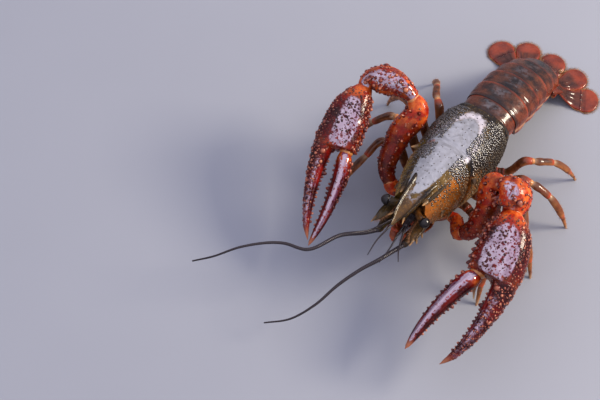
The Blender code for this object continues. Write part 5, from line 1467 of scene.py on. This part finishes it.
def dactyl_blocks(frame):
    """The movable finger: a ridge along its back between two shallow grooves, and teeth."""
    d = np.linspace(0, DACTYL_AT[-1], DACTYL_ROWS)
    edges = (DACTYL_OUTER, DACTYL_INNER, DACTYL_HIGH, DACTYL_HIGH)
    a, b, v, n, _ = section(DACTYL_AT, edges, d, DACTYL_SIDES)
    d = d[:, None]
    body = plateau(d, 2.0, 6.0, 23, 29)
    ridge = 0.30 * hill(a, 0.0, 0.28) - 0.30 * hill(a, 0.62, 0.15) - 0.30 * hill(a, -0.62, 0.15)
    n = n + np.sign(b) * ridge * body * (np.abs(b) > 0.2)
    rings = frame.finger(d + 0.6 + 0 * v, v, n)
    tip = step_up(d, 26.5, 29.6)
    warm = 0.9 * (1 - step_up(d, 0.3, 4.0)) + 0.25 * hill(a, 0.0, 0.35) * (b > 0)
    dark = 0.75 * hill(np.abs(a), 0.95, 0.25) * step_up(d, 3, 8)
    # The gloss stripe along the finger's back gives a wet coat and a pale lavender-pink painted
    # reflection in the colour
    blocks = [(tube(rings, 1.1, 0.5, tip=0.8 * tip + 0 * v, warm=np.clip(warm * (1 - tip), 0, 1),
                    dark=np.clip(dark * (1 - tip), 0, 1),
                    gloss=1.45 * hill(a, 0.1, 0.5) * (b > 0) * (1 - tip)), "claw")]
    for level, count, size in ((0.30, 9, 0.62), (0.62, 8, 0.42), (-0.05, 8, 0.42)):
        row = np.linspace(2.2, 19.0, count) / DACTYL_AT[-1] * (DACTYL_ROWS - 1)
        column = np.full(count, math.acos(level) / (2 * PI) * DACTYL_SIDES)
        place, way = on_skin(rings, row, column)
        sizes = size * np.linspace(1.1, 0.55, count)
        blocks.append((knobs(place, way + 0.4 * frame.along, sizes, sizes * 1.2, 9, 0.2, levels=5),
                       "knob"))
    blocks.append(teeth(16, 3.0, 26.0, lambda d: steady(DACTYL_AT, DACTYL_OUTER, d), -1.0,
                        frame.finger, 6, 2.1, (0.55, 0.35, 0.7)))
    return blocks


# %% [markdown]
# The upper arm is a three-sided club that widens towards the elbow and carries two rows of spines
# along its front edge. The wrist piece is a short swollen block with a groove over its top and
# strong spines on the inner side.

# %% Base, upper arm, wrist piece and claw
BASE_WIDTHS = ((1.7, 2.1, 2.3, 2.4, 2.2), (1.6, 2.1, 2.4, 2.5, 2.2))
UPPER_ARM_DEPTHS = np.array([2.2, 2.7, 3.2, 3.6, 4.0, 4.1, 3.6, 2.5])
WRIST_PIECE_WIDTHS = np.array([2.5, 3.3, 4.5, 5.5, 5.7, 5.1, 4.0, 3.0])
FORWARD = np.array([0.0, -1.0, 0.4])
joint_skin = []
for name, side in SIDES:
    arm = ARMS[name]
    coxa = np.array(COXA) * [side, 1, 1]
    shoulder, elbow, wrist = (np.array(arm[key]) for key in ("shoulder", "elbow", "wrist"))
    claw_frame = ClawFrame(side, arm)
    along, inner, up = claw_frame.along, claw_frame.across, claw_frame.up
    into, bend = between(coxa, shoulder, elbow), between(shoulder, elbow, wrist)
    hinge_line = np.cross(elbow - shoulder, wrist - elbow)

    rings = limb((coxa, (side, 0, 0)), [], (shoulder - into * GAP / 2, into), *BASE_WIDTHS,
                 (0, 1, 0), 1.5, sides=32)
    blocks = [(tube(rings, 0.4, 0.5, warm=0.8), "claw"), arm_knobs(rings, 30, 31, 0.32)]
    piece("arm_base_" + name, blocks, ("claw_base_" + name,))

    middle = (shoulder + elbow) / 2 + [side * 1.6, 0, 0]
    rings = limb((shoulder + into * GAP / 2, into), [middle], (elbow - bend * GAP / 2, bend),
                 UPPER_ARM_DEPTHS, UPPER_ARM_DEPTHS * 0.84, hinge_line, 1.8, rows=70)
    t = shares(70)
    piece("upper_arm_" + name, [
        (tube(rings, 0.6, 0.7, warm=0.35 + 0.55 * step_up(t, 0.45, 0.9),
              dark=0.4 * (1 - step_up(t, 0.2, 0.6))), "claw"),
        row_of_spines(rings, FORWARD + [-side * 0.5, 0, 0], 0.2, 0.86, 7, 0.62, 1.3, 1),
        row_of_spines(rings, FORWARD + [side * 0.6, 0, 0], 0.25, 0.86, 6, 0.6, 1.2, 2),
        row_of_spines(rings, (-side * 0.2, 1.0, 0.4), 0.45, 0.85, 4, 0.6, 1.0, 3),
        arm_knobs(rings, 190, 33, 0.27),
    ], ("claw_merus_" + name,))

    wide = WRIST_PIECE_WIDTHS * arm["girth"]
    rings = limb((elbow + bend * GAP / 2, bend), [], (wrist, along), wide * 0.92, wide,
                 hinge_line, arm["lead"], rows=60)
    t = shares(60)[:, None]
    out = outward(rings)
    seam = hill((rings - rings.mean(axis=1, keepdims=True)) @ inner, -0.8, 0.9) * (out @ up > 0.3)
    rings = rings - out * (0.45 * seam * hill(t, 0.45, 0.3))[..., None]
    # Where the wrist faces up, the gloss gives a wet coat and a pale lavender-pink painted
    # reflection in the colour
    piece("wrist_piece_" + name, [
        (tube(rings, 0.7, 0.6, warm=np.clip(0.95 - 0.35 * seam, 0, 1), dark=0.5 * seam,
              gloss=0.85 * step_up(out @ up, *arm["wrist_wet"])), "claw"),
        row_of_spines(rings, inner + up * 0.3, 0.30, 0.80, 3, 0.85, 1.6, 4, 0.5 * along),
        row_of_spines(rings, inner - up * 0.5, 0.35, 0.85, 3, 0.7, 1.2, 5, 0.4 * along),
        arm_knobs(rings, 210, 35, 0.33),
    ], ("claw_carpus_" + name,))

    blocks = claw_blocks(claw_frame, arm["gloss_from"])
    piece("palm_skin_" + name, blocks, ("claw_palm_" + name,))
    piece("finger_skin_" + name, dactyl_blocks(claw_frame), ("claw_dactyl_" + name,))
    hinge = claw_frame.palm(DACTYL_HINGE[0] - 0.2, DACTYL_HINGE[1] - 0.2, 0.0)
    joint_skin += [ball(shoulder, 2.0, into), ball(elbow, 2.25, bend),
                   ball(wrist, 2.9 * arm["girth"], along),
                   ball(hinge, 2.7 * arm["girth"], along, 0.6), ball(coxa, 1.7, (side, 0, 0))]

# %% [markdown]
# ## Walking legs
# Each leg is one piece of five joints, from the body to a claw tip that stands on the floor. The
# first two pairs end in small pincers. The joints are separate tubes that fit inside each other,
# and balls of soft skin close the knee and the root.

# %% The eight legs
LEG_KNEES = {
    "left": ((22.0, 0.5, 18.5), (24.0, 9.5, 19.5), (23.2, 18.0, 18.5), (19.0, 26.0, 17.0)),
    "right": ((-22.0, 5.0, 17.5), (-24.4, 13.0, 19.0), (-22.8, 20.0, 18.5), (-18.2, 27.5, 17.0)),
}
LEG_FEET = {
    "left": ((29.0, -19.0, 0.0), (37.5, -1.0, 0.0), (37.0, 21.0, 0.0), (30.0, 38.0, 0.0)),
    "right": ((-31.0, -13.0, 0.0), (-39.0, 5.0, 0.0), (-36.0, 26.0, 0.0), (-28.0, 42.0, 0.0)),
}
LEG_THICKNESS = (1.7, 1.7, 1.5, 1.35)
UPPER_WIDTHS = np.array([1.15, 1.0, 0.95, 1.0, 1.05, 1.05, 1.0, 0.85])
LOWER_WIDTHS = np.array([0.8, 0.95, 0.85, 0.8, 0.85, 0.9, 0.88, 0.8, 0.62, 0.46, 0.34, 0.20])


def leg_blocks(root, knee, foot, side, thick, k):
    """Tubes along two routes, one to the knee and one on to the foot, with hair on the second."""
    way = between(root, knee, foot)
    swing = np.cross(knee - root, foot - knee)
    hip = root + [side * 5.2, (knee[1] - root[1]) * 0.3, -0.1]
    upper = [root, root + np.array([side, 0, 0]) * 1.5, hip, knee - way * 1.6, knee]
    drop = foot - knee
    bulge = unit(drop * [1, 1, 0])
    wrist = knee + drop * 0.30 + bulge * 2.2 + [0, 0, 2.0]
    hand = knee + drop * 0.72 + bulge * 1.6 + [0, 0, 1.4]
    lower = [knee, knee + way * 1.5, wrist, hand, foot - unit(foot - hand) * 1.5,
             foot - [0, 0, 0.5]]
    blocks = []
    for end, rim, pale, points, radii, cuts in (
            (0.5, 0.5, (0.4, 0.08), upper, thick * UPPER_WIDTHS, (0, 0.17, 0.30, 0.98)),
            (0.3, 0.6, (0.5, 0.1), lower, thick * LOWER_WIDTHS, (0.02, 0.30, 0.74, 1.0))):
        for index, (rings, own) in enumerate(segments(points, radii, cuts, 0.8, swing, 18)):
            horny = points is lower and index == 2
            tip = step_up(own, 0.5, 1.0) * 0.7 if horny else pale[0] * hill(own, 0, pale[1])
            on_top = step_up(outward(rings)[..., 2], 0.0, 0.9)
            blocks.append((tube(rings, 0.5, end, steps=4, warm=rim * hill(own, 1.0, 0.12),
                                dark=on_top, tip=tip), "leg"))
    path = route(lower, 100)
    if k < 2:
        fork, tip = path[64], path[92] + [-side * 1.3, -0.3, 0.6]
        finger = route([fork, (fork + tip) / 2 + [-side * 1.1, 0, 0.2], tip], 24)
        t = shares(24)
        slim = thick * smooth((0, 0.3, 1), (0.5, 0.46, 0.12), t)
        rings = tube_rings(finger, slim, slim, 14)
        blocks.append((tube(rings, 0.2, 0.1, steps=3, tip=0.7 * step_up(t, 0.5, 1.0)), "leg"))
    draw = np.random.default_rng(50 + k)
    row, angle = draw.uniform(45, 97, 70), draw.uniform(0, 2 * PI, 70)
    wide = even(thick * LOWER_WIDTHS, shares(100))
    skin = tube_rings(path, wide * 0.8, wide, 12, swing)
    roots = pick(skin, row, angle * 12 / (2 * PI))
    ways = roots - on_path(path, row) + unit(drop) * 0.5
    return blocks + [hairs(roots, ways, 0.8, 0.045, seed=60 + k), ball(knee, thick * 0.80, way),
                     ball(root, thick * 1.0, (side, 0, 0))]


for name, side in SIDES:
    for k, thick in enumerate(LEG_THICKNESS):
        root = np.array([side * 7.15, LEG_FIRST_Y + LEG_PITCH * k, 9.9])
        knee, foot = np.array(LEG_KNEES[name][k]), np.array(LEG_FEET[name][k])
        nodes = ["leg_%d_%s_%s" % (k + 1, part, name) for part in ("upper", "lower")]
        blocks = leg_blocks(root, knee, foot, side, thick, k)
        piece("leg_%d_%s" % (k + 1, name), blocks, nodes)
piece("joint_skin", joint_skin)

# %% [markdown]
# ## Floor, camera and lights
# The floor is pale and plain. The camera stands ahead of the animal and to its left, high enough
# to look down on the back. The shell is wet, so what it mirrors matters as much as what lights it.
# Panels could be hung where the back and the claws mirror them, but they end in hard edges there.
# Here the whole world is a sky instead, lavender overhead and greyer lower down, with soft clouds
# in its strength. One warm lamp, fairly low behind the animal and to its left, draws the knobs.

# %% The floor
sand = Paint("floor", Roughness=0.9)
sand.give("Base Color", sand.mix((0.262, 0.272, 0.300), (0.284, 0.294, 0.322), sand.noise(60.0)))
floor_mesh = bpy.data.meshes.new("floor")
floor_mesh.from_pydata([(-3, -3, 0), (3, -3, 0), (3, 3, 0), (-3, 3, 0)], [], [(0, 1, 2, 3)])
floor_mesh.materials.append(PAINTS["floor"])
floor = bpy.data.objects.new("floor", floor_mesh)
bpy.context.scene.collection.objects.link(floor)

# %% The camera
CAMERA_AZIMUTH, CAMERA_ELEVATION, CAMERA_DISTANCE = 36.0, 60.0, 620.0
CAMERA_AIM = np.array([-37.93, -20.69, 0.0])
PIXELS_PER_MM = 3.1
IMAGE_WIDTH = 600
SENSOR_WIDTH = 36.0


def direction(azimuth, elevation):
    """The way to a compass direction round the animal, counted from its front, in degrees."""
    azimuth, elevation = math.radians(azimuth), math.radians(elevation)
    level = math.cos(elevation)
    return np.array([math.sin(azimuth) * level, -math.cos(azimuth) * level, math.sin(elevation)])


def aimed(thing, place, target):
    """Put a light or camera at a place, looking at the target."""
    thing.location = Vector(place)
    thing.rotation_euler = (Vector(target) - Vector(place)).to_track_quat("-Z", "Y").to_euler()
    bpy.context.scene.collection.objects.link(thing)


camera_data = bpy.data.cameras.new("camera")
camera_data.sensor_width = SENSOR_WIDTH
camera_data.lens = PIXELS_PER_MM * CAMERA_DISTANCE / IMAGE_WIDTH * SENSOR_WIDTH
camera_data.clip_start = 0.01
camera = bpy.data.objects.new("camera", camera_data)
aim = (CAMERA_AIM + SHIFT * [1, 1, 0]) * MM
place = aim + direction(CAMERA_AZIMUTH, CAMERA_ELEVATION) * CAMERA_DISTANCE * MM
aimed(camera, place, aim)
bpy.context.scene.camera = camera
print("lens %.1f mm, camera at %s m" % (camera_data.lens, place.round(3)))

# %% The lamp
lamp_data = bpy.data.lights.new("key", "AREA")
lamp_data.shape = "SQUARE"
lamp_data.size = 0.25
lamp_data.energy = 7.0
lamp_data.color = (1.0, 0.90, 0.74)
lamp = bpy.data.objects.new("key", lamp_data)
aimed(lamp, 0.8 * direction(128, 34), (0, 0, 0.02))
print("lamp at %s m" % (0.8 * direction(128, 34)).round(3))

# %% The sky
world = bpy.data.worlds.new("sky")
sky = Paint("sky", world, "Background")
way = sky.node("TexCoord", output="Generated")
height = sky.node("SeparateXYZ", sockets={0: way}, output=2)
grey, lavender = (0.36, 0.37, 0.46), (0.80, 0.79, 0.95)
sky.give("Color", sky.mix(grey, lavender, sky.between(height, -0.1, 0.85)))
clouds = sky.node("TexNoise", sockets={"Vector": way, "Scale": 3.5, "Detail": 1.0})
sky.give("Strength", sky.node("MapRange", sockets={0: clouds, 1: 0.35, 2: 0.65, 3: 0.85, 4: 1.6}))
bpy.context.scene.world = world
bpy.context.scene.view_settings.view_transform = "Standard"
bpy.context.scene.view_settings.look = "Medium High Contrast"
print("sky of", len(world.node_tree.nodes), "nodes")
